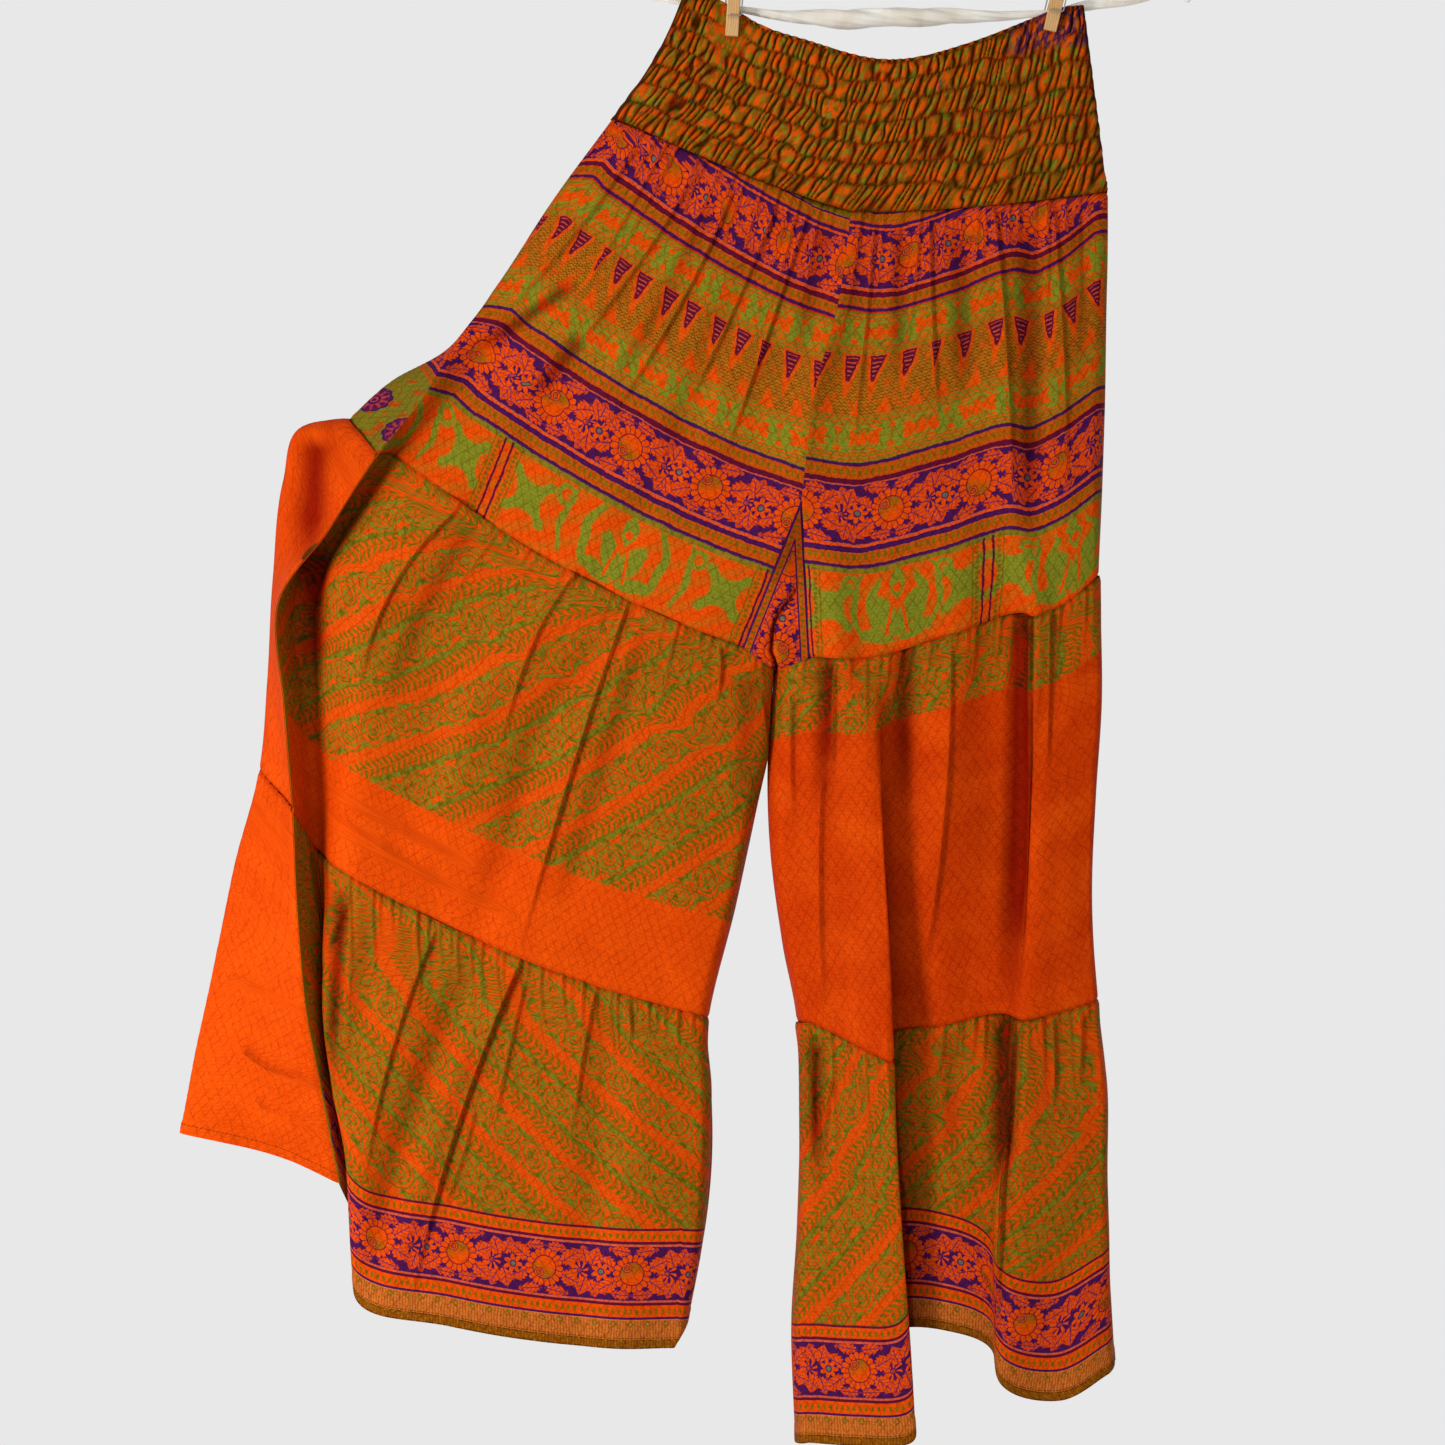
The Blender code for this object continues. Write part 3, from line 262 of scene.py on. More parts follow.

# Soft troughs between the creases, painted with shade as deep as they are: three points of each, depth and half
# width
TROUGHS = by_panel("x0 z0 x1 z1 x2 z2 depth width", {
    "hip_left_front": [
        (-228, -196, -272, -226, -310, -252, 3.4, 5), (-226, -234, -246, -262, -268, -286, 3.4, 6),
        (-46, -150, -58, -200, -70, -260, 2.2, 6), (-128, -130, -168, -214, -222, -300, 1.6, 6),
        (-352, -280, -366, -300, -376, -318, 2.6, 8),
    ],
    "hip_right_front": [
        (6, -150, 6, -210, 6, -280, 2.2, 6), (48, -150, 52, -220, 54, -290, 2.6, 8),
        (100, -140, 103, -280, 98, -410, 3.2, 8), (138, -140, 140, -200, 142, -270, 1.8, 7),
    ],
    "tier2_left_front": [
        (-424, -380, -428, -440, -428, -500, 3.4, 9), (-300, -370, -340, -440, -370, -520, 1.6, 8),
        (-176, -440, -214, -560, -250, -680, 1.8, 8), (-104, -480, -104, -540, -112, -600, 2.2, 9),
    ],
    "tier2_right_front": [
        (-50, -470, -50, -520, -52, -590, 4.4, 8), (10, -440, 10, -510, 6, -590, 3.6, 8),
        (95, -420, 92, -560, 84, -750, 5.6, 7),
    ],
    "tier3_left_front": [
        (-404, -640, -408, -710, -414, -800, 4.4, 7), (-300, -740, -338, -860, -366, -960, 1.6, 8),
    ],
    "tier3_right_front": [
        (-57, -750, -57, -800, -54, -870, 3.6, 7), (84, -725, 82, -800, 80, -870, 5.0, 8),
        (40, -740, 44, -800, 46, -860, 1.8, 8),
    ],
    "tier2_left_flap": [(-424, -310, -428, -350, -430, -410, 4.6, 13)],
    "tier2_left_back": [(-260, -430, -250, -540, -266, -660, 2.6, 10)],
    "tier2_right_back": [(50, -450, 52, -580, 46, -720, 3.0, 10)],
    "tier3_left_back": [(-310, -720, -300, -820, -316, -920, 2.8, 10)],
    "tier3_right_back": [(60, -750, 60, -860, 54, -960, 3.0, 10)],
    "hip_left_back": [(-120, -140, -144, -250, -180, -360, 2.4, 8)],
    "hip_right_back": [(64, -150, 66, -260, 62, -390, 2.4, 8)],
})

# Iron creases and small wrinkles: both ends, half width and height
IRON = by_panel("x0 z0 x1 z1 width height", {
    "tier2_right_front": [
        (-82, -639, -53, -638, 1.4, 1.0), (-52, -642, -3, -645, 1.4, 1.0), (-24, -696, -1, -694, 1.4, 1.0),
        (36, -607, 84, -601, 1.6, 0.7), (28, -713, 84, -710, 1.2, 1.1),
    ],
    "tier3_right_front": [(32, -858, 78, -856, 1.6, 1.0)],
    "tier2_left_front": [
        (-316, -550, -258, -580, 2.4, 0.9), (-176, -632, -124, -662, 2.2, 0.8),
        (-400, -516, -372, -540, 2.0, 0.8),
    ],
    "tier3_left_front": [(-322, -828, -270, -838, 2.2, 0.8)],
    "tier2_left_back": [(-330, -560, -220, -590, 1.8, 0.8)],
    "tier2_left_flap": [(-446, -400, -430, -460, 3.0, 0.9), (-452, -500, -436, -548, 2.6, 0.8)],
    "tier3_left_flap": [
        (-472, -610, -446, -690, 3.2, 1.1), (-494, -690, -436, -722, 3.0, 0.9),
        (-508, -740, -452, -784, 3.4, 1.1), (-466, -740, -424, -752, 2.6, 0.8),
    ],
    "tier2_right_back": [(20, -600, 110, -606, 1.8, 0.8)],
    "tier3_left_back": [(-300, -800, -200, -830, 1.8, 0.8)],
})


# Curves

def clipped(value):
    """A value held from 0 to 1."""
    return np.clip(value, 0, 1)


def smooth_ramp(value):
    """A value held from 0 to 1, with a soft start and end."""
    value = clipped(value)
    return value * value * (3 - 2 * value)


def bell(value):
    """1 at 0, and softly down to 0 on both sides."""
    return np.exp(-value ** 2)


def unit(vectors):
    return vectors / np.linalg.norm(vectors, axis=-1, keepdims=True)


def run_of(points):
    """Length from a polyline's first point to each point."""
    return np.concatenate([[0.0], np.cumsum(np.linalg.norm(np.diff(points, axis=0), axis=1))])


def spline(knots, values, at):
    """Smooth curve through the values at the knots, read at the places given."""
    knots = np.asarray(knots, float)
    values = np.asarray(values, float)
    at = np.atleast_1d(np.asarray(at, float))
    slopes = np.gradient(values, knots, axis=0)
    low = np.clip(np.searchsorted(knots, at, side="right") - 1, 0, len(knots) - 2)
    span = (knots[low + 1] - knots[low])[:, None]
    t = (at - knots[low])[:, None] / span
    start = (1 + 2 * t) * (1 - t) ** 2 * values[low] + t * (1 - t) ** 2 * span * slopes[low]
    end = t * t * (3 - 2 * t) * values[low + 1] + t * t * (t - 1) * span * slopes[low + 1]
    return start + end


def read_table(table, station):
    """One row of a table at any station, as the same kind of named row."""
    knots = [row[0] for row in table]
    values = [row[1:] for row in table]
    return type(table[0])(station, *spline(knots, values, station)[0])


def even(points, count):
    """The same polyline with evenly spaced points."""
    run = run_of(points)
    places = np.linspace(0.0, run[-1], count)
    return np.stack([np.interp(places, run, values) for values in points.T], axis=1)


def along(keys):
    """Evenly spaced points on the smooth curve through the keys."""
    knots = run_of(np.asarray(keys))
    fine = spline(knots, keys, np.linspace(0.0, knots[-1], FINE_STEPS))
    return np.vstack([even(fine, ROW_COLUMNS + 1)[:-1], keys[-1:]])


def point(x, y, z):
    return np.array([x, y, z]) * MM


def spot(row, name):
    """A named point of a table's row."""
    return point(*[getattr(row, f"{name}_{axis}") for axis in "xyz"])


def rounded_end(flat, tip):
    """Quarter ellipse from a point on the flat of a layer, itself left out, to the tip of the tube."""
    turned = []
    for angle in np.linspace(0, math.pi / 2, TIP_COLUMNS + 1)[1:]:
        across = flat + (tip - flat) * math.sin(angle)
        across[1] = tip[1] + (flat[1] - tip[1]) * math.cos(angle)
        turned.append(across)
    return np.array(turned)


def between(start, end, part, depth, sag):
    """A point on one layer between two others, pushed out to a depth and let down by a sag."""
    place = start + (end - start) * part
    place[1] = depth
    place[2] -= sag * 4 * part * (1 - part)
    return place


# Key points of each layer: those at its side, the rest as far as the turn to the inseam, and the inseam

def flat_inner(row, start, layer, heel=0):
    """Where a leg's layer starts to turn in to the inseam, and the inseam."""
    inner = spot(row, "in")
    towards = start - inner
    towards[1] = 0
    flat = inner + unit(towards) * row.turn * MM
    flat[1] = SIGN[layer] * TURN_FULLNESS * row.depth * MM
    flat[2] -= heel * MM
    return flat, inner


def left_front_keys(row):
    ridge = spot(row, "ridge")
    flat, inner = flat_inner(row, ridge, "front", row.heel)
    layer = [between(ridge, flat, part, -row.depth * MM, row.sag * MM) for part in LEFT_LAYER_PARTS]
    return [spot(row, "seam")], [spot(row, "valley"), ridge, *layer, flat], inner


def back_layer(start, flat, row, parts):
    layer = [between(start, flat, part, row.depth * MM, row.back_sag * MM) for part in parts]
    layer[0][1] = TURN_FULLNESS * row.depth * MM
    return [*layer, flat]


def left_back_keys(row):
    seam = spot(row, "seam")
    edge = point(row.edge_x, EDGE_Y, row.edge_z)
    flap = seam + (edge - seam) * FLAP_PART
    flap[2] += row.rise * MM
    flat, inner = flat_inner(row, edge, "back", row.heel)
    return [seam, flap, edge], back_layer(edge, flat, row, BACK_LAYER_PARTS), inner


def right_front_keys(row):
    side = point(row.side_x, 0, row.side_z)
    tuck = spot(row, "tuck")
    lobe = spot(row, "lobe")
    flat, inner = flat_inner(row, side, "front")
    over = point(row.fold_x + FOLD_REACH, -FOLD_FRONT * row.depth, row.front_z)
    under = point(row.fold_x - FOLD_REACH, -FOLD_BACK * row.depth, row.back_z)
    turned = between(side, over, SIDE_TURN_PART, -TURN_FULLNESS * row.depth * MM, row.sag * MM)
    panel = between(side, over, 0.5, -row.depth * MM, row.sag * MM)
    behind = between(under, tuck, 0.5, -FOLD_BACK * row.depth * MM, -row.arch * MM)
    bulge = between(lobe, flat, 0.5, -LOBE_FULLNESS * row.depth * MM, LOBE_SAG * row.sag * MM)
    return [side], [turned, panel, over, under, behind, tuck, lobe, bulge, flat], inner


def right_back_keys(row):
    side = point(row.side_x, 0, row.side_z)
    flat, inner = flat_inner(row, side, "back")
    return [side], back_layer(side, flat, row, RIGHT_BACK_PARTS), inner


LEG_KEYS = {
    ("left", "front"): (LEG_LEFT, left_front_keys),
    ("left", "back"): (LEG_LEFT, left_back_keys),
    ("right", "front"): (LEG_RIGHT, right_front_keys),
    ("right", "back"): (LEG_RIGHT, right_back_keys),
}


def leg_keys(side, layer, station):
    table, keys_of = LEG_KEYS[side, layer]
    return keys_of(read_table(table, station))


def joined(side, first, keys):
    """A row of points through its keys. On the right it starts with a rounded tip at the side."""
    if side == "left":
        return along([*first, *keys])
    return np.vstack([rounded_end(keys[0], first[0])[::-1], along(keys)])


def leg_row(side, layer, station):
    """One row of points of a leg's front or back, from the side seam to the inseam."""
    first, keys, inner = leg_keys(side, layer, station)
    points = joined(side, first, keys)
    return np.vstack([points, rounded_end(points[-1], inner)])


def leg_corner(side, layer):
    """Where the gusset, tier 1 and tier 2 meet on one leg."""
    return leg_keys(side, layer, 1.0)[1][-1]


def centre_point(side, layer, station):
    """Centre seam, and below its foot the gusset's side, which leads to the corner of the leg."""
    if station <= APEX:
        row = read_table(CENTRE, station)
        return point(row.x, SIGN[layer] * row.depth, row.z)
    tip = centre_point(side, layer, APEX)
    return tip + (leg_corner(side, layer) - tip) * (station - APEX) / (1 - APEX)


def hip_row(side, layer, station):
    """One row of tier 1: its foot is the leg's first row, whose form fades out upwards."""
    row = read_table(HIP_SIDES[side], station)
    seam = spot(row, "seam")
    edge = point(row.edge_x, EDGE_Y, row.edge_z)
    centre = centre_point(side, layer, station)
    foot_first, foot_keys, _ = leg_keys(side, layer, 1.0)
    first = [seam, seam + (edge - seam) * FLAP_PART, edge][:len(foot_first)]
    start = first[-1]
    foot_start = foot_first[-1]
    foot_chord = foot_keys[-1] - foot_start
    depth = SIGN[layer] * np.interp(station, (0, 1), HIP_DEPTH) * MM
    sag = np.interp(station, (0, 1), HIP_SAG) * MM
    last = len(foot_keys) - 2
    keys = []
    for order, key in enumerate(foot_keys[:-1]):
        top_part = np.interp(order, (0, last), HIP_KEY_PARTS)
        plain = between(start, centre, top_part, depth * (TURN_FULLNESS if order == 0 else 1.0), sag)
        foot_part = np.dot(key - foot_start, foot_chord) / np.dot(foot_chord, foot_chord)
        foot_offset = key - (foot_start + foot_chord * foot_part)
        formed = start + (centre - start) * foot_part + foot_offset
        keys.append(plain + (formed - plain) * station ** HIP_FADE)
    return joined(side, first, [*keys, centre])


# Fine surfaces of the cloth

FAR = 50.0
# Cross-section of a crease: the width of its fall, and how low and how far the cloth lies beyond
LAP_DROP = 2.4
LAP_LOW = 0.4
LAP_BEYOND = 0.8
LAP_SHADE = 4.5
TROUGH_SHADE = 0.19
CREASE_SHADE = 0.13
CREASE_STEPS = 10
CREASE_SEEN = 0.05
CREASE_EASE = 0.8
# Parts of their length over which troughs, creases and wrinkles fade, at their start and end
TROUGH_ENDS = (0.15, 0.3)
CREASE_ENDS = (0.06, 0.35)
IRON_ENDS = (0.2, 0.2)
# Gathers: how far each strays from even spacing and from straight down, and how the long ones differ
GATHER_STRAY = 0.35
GATHER_DRIFT = 0.035
GATHER_EASE = 0.7
GATHER_DRAWN = 0.6
LONG_DEPTH = 1.15
LONG_HIDDEN = 1.3
SHORT_HIDDEN = 0.7
# Shelter: every few points are looked at, nothing is nearer than this, and how strong one side is
SHELTER_STEP = 3
SHELTER_LEAST = 0.6
SHELTER_SIDE = 0.45


def normals(grid):
    """Unit normals of a grid of points, by central differences."""
    return unit(np.cross(np.gradient(grid, axis=0), np.gradient(grid, axis=1)))


def run_along(grid, axis):
    """Length from the grid's first row or column to each point."""
    steps = np.linalg.norm(np.diff(grid, axis=axis), axis=2)
    shape = (1, steps.shape[1]) if axis == 0 else (steps.shape[0], 1)
    return np.concatenate([np.zeros(shape), np.cumsum(steps, axis=axis)], axis=axis)


def large_folds(name, run, down, side):
    """Height of the large folds of the part's own solids."""
    heights = np.zeros(run.shape)
    total = run[:, -1:]
    from_side = run if side == "left" else total - run
    for fold in FOLDS[name]:
        middle = (fold.top + (fold.foot - fold.top) * down) * total
        rise = bell((from_side - middle) / (fold.width * MM))
        heights += fold.height * MM * rise * np.sin(math.pi * (FOLD_START + FOLD_RUN * down))
    return heights


def lap(apart, reach):
    """Cross-section of a crease, by the distance from its line: a slow rise, and a sharp fall beyond."""
    rise = np.exp(np.minimum(apart, 0) / reach)
    low = -LAP_LOW * np.exp(-np.maximum(apart - LAP_DROP, 0) / (LAP_BEYOND * reach))
    return rise + (low - rise) * smooth_ramp(apart / LAP_DROP)


class Nearest:
    """The signed distance to the nearest of several creases, and how strongly the painted shade line of that
    one is drawn.
    """

    def __init__(self, shape):
        self.apart = np.full(shape, FAR)
        self.drawn = np.zeros(shape)

    def take(self, apart, fade, drawn):
        near = (np.abs(apart) < np.abs(self.apart)) & (fade > CREASE_SEEN)
        self.apart = np.where(near, apart, self.apart)
        self.drawn = np.where(near, drawn, self.drawn)


def gathered(panel, run, down):
    """Heights of a tier's small gathers, how much hidden cloth each takes up, and the nearest one."""
    rng = np.random.default_rng(panel.seed)
    row = GATHERS[panel.kind]
    total = run[:, -1:] / MM
    count = int(float(total[0, 0]) / row.pitch)
    heights = np.zeros(run.shape)
    hidden = np.zeros(run.shape)
    nearest = Nearest(run.shape)
    for k in range(count):
        place = (k + 0.5 + rng.uniform(-GATHER_STRAY, GATHER_STRAY)) / count
        is_long = k % 4 == rng.integers(0, 4)
        reach = row.long_run * rng.uniform(0.45, 1.0) if is_long else row.run * rng.uniform(0.5, 1.5)
        drift = rng.uniform(-GATHER_DRIFT, GATHER_DRIFT)
        width = row.width * rng.uniform(0.75, 1.2)
        depth = row.depth * rng.uniform(0.55, 1.1) * (LONG_DEPTH if is_long else 1.0)
        fade = clipped(1 - down / reach) ** GATHER_EASE
        apart = run / MM - (place + drift * down) * total
        heights += depth * MM * fade * lap(apart, width * (1 + 0.8 * down))
        hidden += clipped(fade * 2) * (LONG_HIDDEN if is_long else SHORT_HIDDEN) * bell(apart - 0.5)
        nearest.take(apart, fade, GATHER_DRAWN * fade)
    return heights, hidden, nearest


def from_line(grid, corners):
    """Signed distance of each point from a crease's line, and how far along the line it lies, from 0 to 1."""
    corners = np.reshape(corners, (3, 2)).astype(float)
    bend = corners[1] * 2 - (corners[0] + corners[2]) / 2
    t = np.linspace(0, 1, CREASE_STEPS + 1)[:, None]
    line = (1 - t) ** 2 * corners[0] + 2 * t * (1 - t) * bend + t * t * corners[2]
    flat = grid[:, :, [0, 2]] / MM
    best = np.full(flat.shape[:2], 1e9)
    side = np.ones(flat.shape[:2])
    place = np.zeros(flat.shape[:2])
    for step in range(CREASE_STEPS):
        way = line[step + 1] - line[step]
        apart = flat - line[step]
        part = clipped(apart @ way / (way @ way))
        off = np.linalg.norm(apart - part[:, :, None] * way, axis=2)
        near = off < best
        best = np.where(near, off, best)
        turn = way[0] * apart[:, :, 1] - way[1] * apart[:, :, 0]
        side = np.where(near, np.sign(turn) + (turn == 0), side)
        place = np.where(near, (step + part) / CREASE_STEPS, place)
    return best * side, place


def rows_on(tables, name, face):
    """A panel's rows, each with where it shows. Rows of a flap hold where its back panel faces forward."""
    for panel, table in tables.items():
        if panel in (name, name.replace("back", "flap")):
            shown = np.ones_like(face) if panel == name else (face < 0) * 1.0
            for row in table:
                yield row, shown


def faded(place, ends, ease=1):
    """1 along a line, and down to 0 over a part of it at both ends."""
    start, end = ends
    return clipped(place / start) * clipped((1 - place) / end) ** ease


def creased(name, grid, face):
    """Heights of the creases and troughs, the shade in them, and the nearest crease."""
    heights = np.zeros(face.shape)
    shade = np.zeros(face.shape)
    nearest = Nearest(face.shape)
    for row, shown in rows_on(TROUGHS, name, face):
        apart, place = from_line(grid, row[:6])
        dip = shown * faded(place, TROUGH_ENDS) * bell(apart / row.width)
        heights -= row.depth * MM * dip
        shade = np.maximum(shade, TROUGH_SHADE * row.depth * dip)
    for row, shown in rows_on(CREASES, name, face):
        apart, place = from_line(grid, row[:6])
        fade = shown * faded(place, CREASE_ENDS, CREASE_EASE)
        heights += row.height * MM * fade * lap(apart, row.reach)
        nearest.take(apart, fade, clipped(0.35 + 0.25 * row.height) * fade)
        beyond = np.where(apart > 0, np.exp(-apart / LAP_SHADE), 0)
        shade = np.maximum(shade, CREASE_SHADE * row.height * fade * beyond)
    for row, shown in rows_on(IRON, name, face):
        middle = ((row.x0 + row.x1) / 2, (row.z0 + row.z1) / 2)
        apart, place = from_line(grid, [*row[:2], *middle, *row[2:4]])
        heights += row.height * MM * shown * faded(place, IRON_ENDS) * np.exp(-np.abs(apart) / row.width)
    return heights, shade, nearest


def shelter(place, face, reach):
    """How much each point of a row of cloth is hidden by what stands before it on either side, from 0 to 1, for
    painted shade.
    """
    x = place[:, :, 0] / MM
    y = place[:, :, 1] / MM
    apart = x[:, None, ::SHELTER_STEP] - x[:, :, None]
    ahead = (y[:, None, ::SHELTER_STEP] - y[:, :, None]) * face[:, :, None]
    slope = ahead / np.maximum(np.abs(apart), SHELTER_LEAST)
    slope = np.where(np.abs(apart) < reach, slope * (1 - np.abs(apart) / reach), 0)
    left = np.max(np.where(apart < 0, slope, 0), axis=2)
    right = np.max(np.where(apart > 0, slope, 0), axis=2)
    return SHELTER_SIDE * (np.arctan(left) + np.arctan(right)) * 2 / math.pi


def undulation(run, length, seed, waves=9):
    """Soft unevenness of hanging cloth, longer down than across."""
    rng = np.random.default_rng(seed)
    heights = np.zeros(run.shape)
    for _ in range(waves):
        across = rng.uniform(0.03, 0.13)
        drop = rng.uniform(-0.03, 0.03)
        phase = rng.uniform(0, 2 * math.pi)
        heights += np.sin(across * run / MM + drop * length / MM + phase) * 0.06 / across
    return heights * MM / math.sqrt(waves)


NOISE_TABLE = 64


def smooth_noise(x, y, seed):
    """Value noise of two coordinates, from -1 to 1, the same for the same seed."""
    table = np.random.default_rng(seed).uniform(-1, 1, (NOISE_TABLE, NOISE_TABLE))
    xi = np.floor(x).astype(int)
    yi = np.floor(y).astype(int)
    fx = smooth_ramp(x - xi)
    fy = smooth_ramp(y - yi)

    def at(down, across):
        return table[(yi + down) % NOISE_TABLE, (xi + across) % NOISE_TABLE]

    return (at(0, 0) * (1 - fx) + at(0, 1) * fx) * (1 - fy) + (at(1, 0) * (1 - fx) + at(1, 1) * fx) * fy


# Objects

def new_object(data, material=None):
    """A mesh, camera or light put into the scene."""
    obj = bpy.data.objects.new(data.name, data)
    bpy.context.scene.collection.objects.link(obj)
    if material:
        data.materials.append(material)
    return obj


def belongs(obj, node):
    """An object that takes a solid's place, moves with the part and has a slot for its material."""
    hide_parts(node)
    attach(obj, "root")
    return obj


def crease_line(apart, drawn):
    """The signed distance from a crease, and a distance that also grows where its painted shade line isn't
    drawn.
    """
    return apart * MM, (np.abs(apart) + 2 * (1 - drawn)) * MM


def sheet_mesh(name, grid, layers, flip, material):
    """Thin shell through a grid of points, with two values of each layer for its material."""
    count_down, count_across = grid.shape[:2]
    index = np.arange(count_down * count_across).reshape(count_down, count_across)
    corners = [index[:-1, :-1], index[1:, :-1], index[1:, 1:], index[:-1, 1:]]
    quads = np.stack([c.ravel() for c in (corners[::-1] if flip else corners)], axis=1)
    mesh = bpy.data.meshes.new(name)
    mesh.vertices.add(index.size)
    mesh.vertices.foreach_set("co", grid.reshape(-1))
    mesh.loops.add(quads.size)
    mesh.loops.foreach_set("vertex_index", quads.reshape(-1))
    mesh.polygons.add(len(quads))
    mesh.polygons.foreach_set("loop_start", np.arange(0, quads.size, 4))
    mesh.polygons.foreach_set("loop_total", np.full(len(quads), 4))
    for layer_name, pair in layers.items():
        values = np.stack([np.broadcast_to(value, index.shape) for value in pair], axis=2)
        layer = mesh.uv_layers.new(name=layer_name)
        layer.data.foreach_set("uv", values.reshape(-1, 2)[quads.reshape(-1)].reshape(-1))
    mesh.update()
    mesh.validate()
    mesh.shade_smooth()
    return new_object(mesh, material)


# Panels of the three tiers

GRID_ACROSS = {"front": 1.3 * MM, "back": 1.7 * MM}
GRID_DOWN = {"front": 3.2 * MM, "back": 4.0 * MM}
CALM_SIDE = 5
# Where the cloth turns sharply its fine folds are flatter: where that ends, over what range, and what is left
BEND_FROM = 0.35
BEND_RANGE = 0.5
BEND_LEFT = 0.15
SEAM_WIDTH = 1.6 * MM
SEAM_DEPTH = 0.9 * MM
SIDE_WIDTH = 1.2
SIDE_DEPTH = 0.5 * MM
HEM_TURN = 9
HEM_EDGE = 0.8
HEM_THICK = 0.5 * MM
PANEL_SHELTER = 34
# Painted shade of cloth in shelter and along seams, less what open cloth has
SHELTER_SHADE = 1.1
SEAM_SHADE = 0.4
OPEN_LIGHT = 0.06
# Flat cloth that folds hide, and where prints start: tier 1's by its foot, with a small step at the front
# seam, and that of the right leg's foot by its height
TUCKED = 2.5
CREASE_HIDDEN = 0.8
CREASE_WIDTH = 1.1
HIP_PRINT = 328 * MM
PRINT_STEP = 8 * MM
PRINT_STEP_REACH = 80 * MM
PRINT_LEVEL = -0.74
INSEAM_X = -110 * MM
CORNER = 33
CORNER_FADE = 4
STRAIGHT = 2.4 * CORNER


def corner_rise(foot):
    """How far a leg's foot rises round its corner at the inseam, over the straight hem before it."""
    inner = foot if abs(foot[-1, 0] - INSEAM_X) < abs(foot[0, 0] - INSEAM_X) else foot[::-1]
    run = run_of(inner) / MM
    left = run[-1] - run
    straight = (left > CORNER) & (left < STRAIGHT)
    slope = np.polyfit(inner[straight, 0], inner[straight, 2], 1)
    rise = np.maximum(inner[:, 2] - np.polyval(slope, inner[:, 0]), 0)
    rise = rise * clipped((CORNER - left) / CORNER_FADE)
    return rise if inner is foot else rise[::-1]


def print_down(name, grid, run, length, to_foot):
    """Place down the print on a panel."""
    if name == "hip_right_front":
        return HIP_PRINT - to_foot + PRINT_STEP * np.exp(-run / PRINT_STEP_REACH)
    if name.startswith("hip"):
        return HIP_PRINT - to_foot
    if name == "tier3_right_front":
        return PRINT_LEVEL - grid[:, :, 2]
    return length


def cloth_panel(panel, material):
    """One panel of a tier as a thin shell: its solid's form, with fine folds, gathers and creases."""
    name = f"{panel.kind}_{panel.side}_{panel.layer}"
    has_hem = panel.kind == "tier3"
    make_row = hip_row if panel.kind == "hip" else leg_row
    across = int(panel.flat_width * MM / GRID_ACROSS[panel.layer])
    downs = int(panel.flat_length * MM / GRID_DOWN[panel.layer])
    stations = TIERS.index(panel.kind) + np.linspace(0, 1, downs)
    grid = np.array([even(make_row(panel.side, panel.layer, station), across) for station in stations])
    if panel.side == "right":
        grid = grid[:, ::-1]
    out = -SIGN[panel.layer] * normals(grid)
    face = np.sign(out[:, :, 1])
    run = run_along(grid, 1)
    length = run_along(grid, 0)
    to_foot = length[-1:] - length
    down = np.linspace(0, 1, downs)[:, None] * np.ones_like(run)
    ends = np.minimum(run, run[:, -1:] - run) / MM
    bend = np.ones_like(run)
    turn = np.sum(out[:, :-4] * out[:, 4:], axis=2)
    bend[:, 2:-2] = np.clip((turn - BEND_FROM) / BEND_RANGE, BEND_LEFT, 1)
    small, hidden, gather = gathered(panel, run, down)
    main_folds, shade, crease = creased(name, grid, face)
    fine = small + main_folds + undulation(run, length, panel.seed)
    seam = bell((length if has_hem else np.minimum(length, to_foot)) / SEAM_WIDTH)
    heights = large_folds(name, run, down, panel.side) + fine * clipped(ends / CALM_SIDE) * bend
    heights -= SEAM_DEPTH * seam + SIDE_DEPTH * bell(ends / SIDE_WIDTH)
    if has_hem:
        heights += HEM_THICK * clipped((HEM_TURN - to_foot / MM) / HEM_EDGE + 0.5)
        to_foot = to_foot + corner_rise(grid[-1])
    place = grid + out * heights[:, :, None]
    hidden = hidden + CREASE_HIDDEN * bell(crease.apart / CREASE_WIDTH)
    flat_run = np.cumsum(np.diff(run, axis=1, prepend=0) * (1 + TUCKED * hidden), axis=1)
    if panel.side == "left":
        flat_run = flat_run - flat_run[:, -1:]
    # Painted shade, carried by the fold and line layers: a dark line along the nearest crease or gather, and
    # darkness of cloth in shelter, in troughs and creases and along seams
    is_crease = np.abs(crease.apart) < np.abs(gather.apart) + 1
    nearest = np.where(is_crease, crease.apart, gather.apart)
    drawn = np.where(is_crease, crease.drawn, gather.drawn) * bend
    occlusion_shade = SHELTER_SHADE * shelter(place, face, PANEL_SHELTER)
    painted_shade = clipped(occlusion_shade + shade + SEAM_SHADE * seam - OPEN_LIGHT)
    place[:, :, 1] += GARMENT_Y
    layers = {
        "print": (flat_run, print_down(name, grid, run, length, to_foot)),
        "place": (to_foot, down),
        "fold": (painted_shade, run),
        "line": crease_line(nearest, drawn),
    }
    obj = sheet_mesh(f"cloth_{name}", place, layers, panel.layer == "back", material)
    belongs(obj, name)
    panel.flat_width * MM
    panel.flat_length * MM


# Waistband

BAND_ROWS = {"front": 130, "back": 100}
BAND_COLUMNS = {"front": 470, "back": 360}
BAND_SEED = {"front": 31, "back": 37}
BAND_ELASTICS = 8
BAND_SHELTER = 9
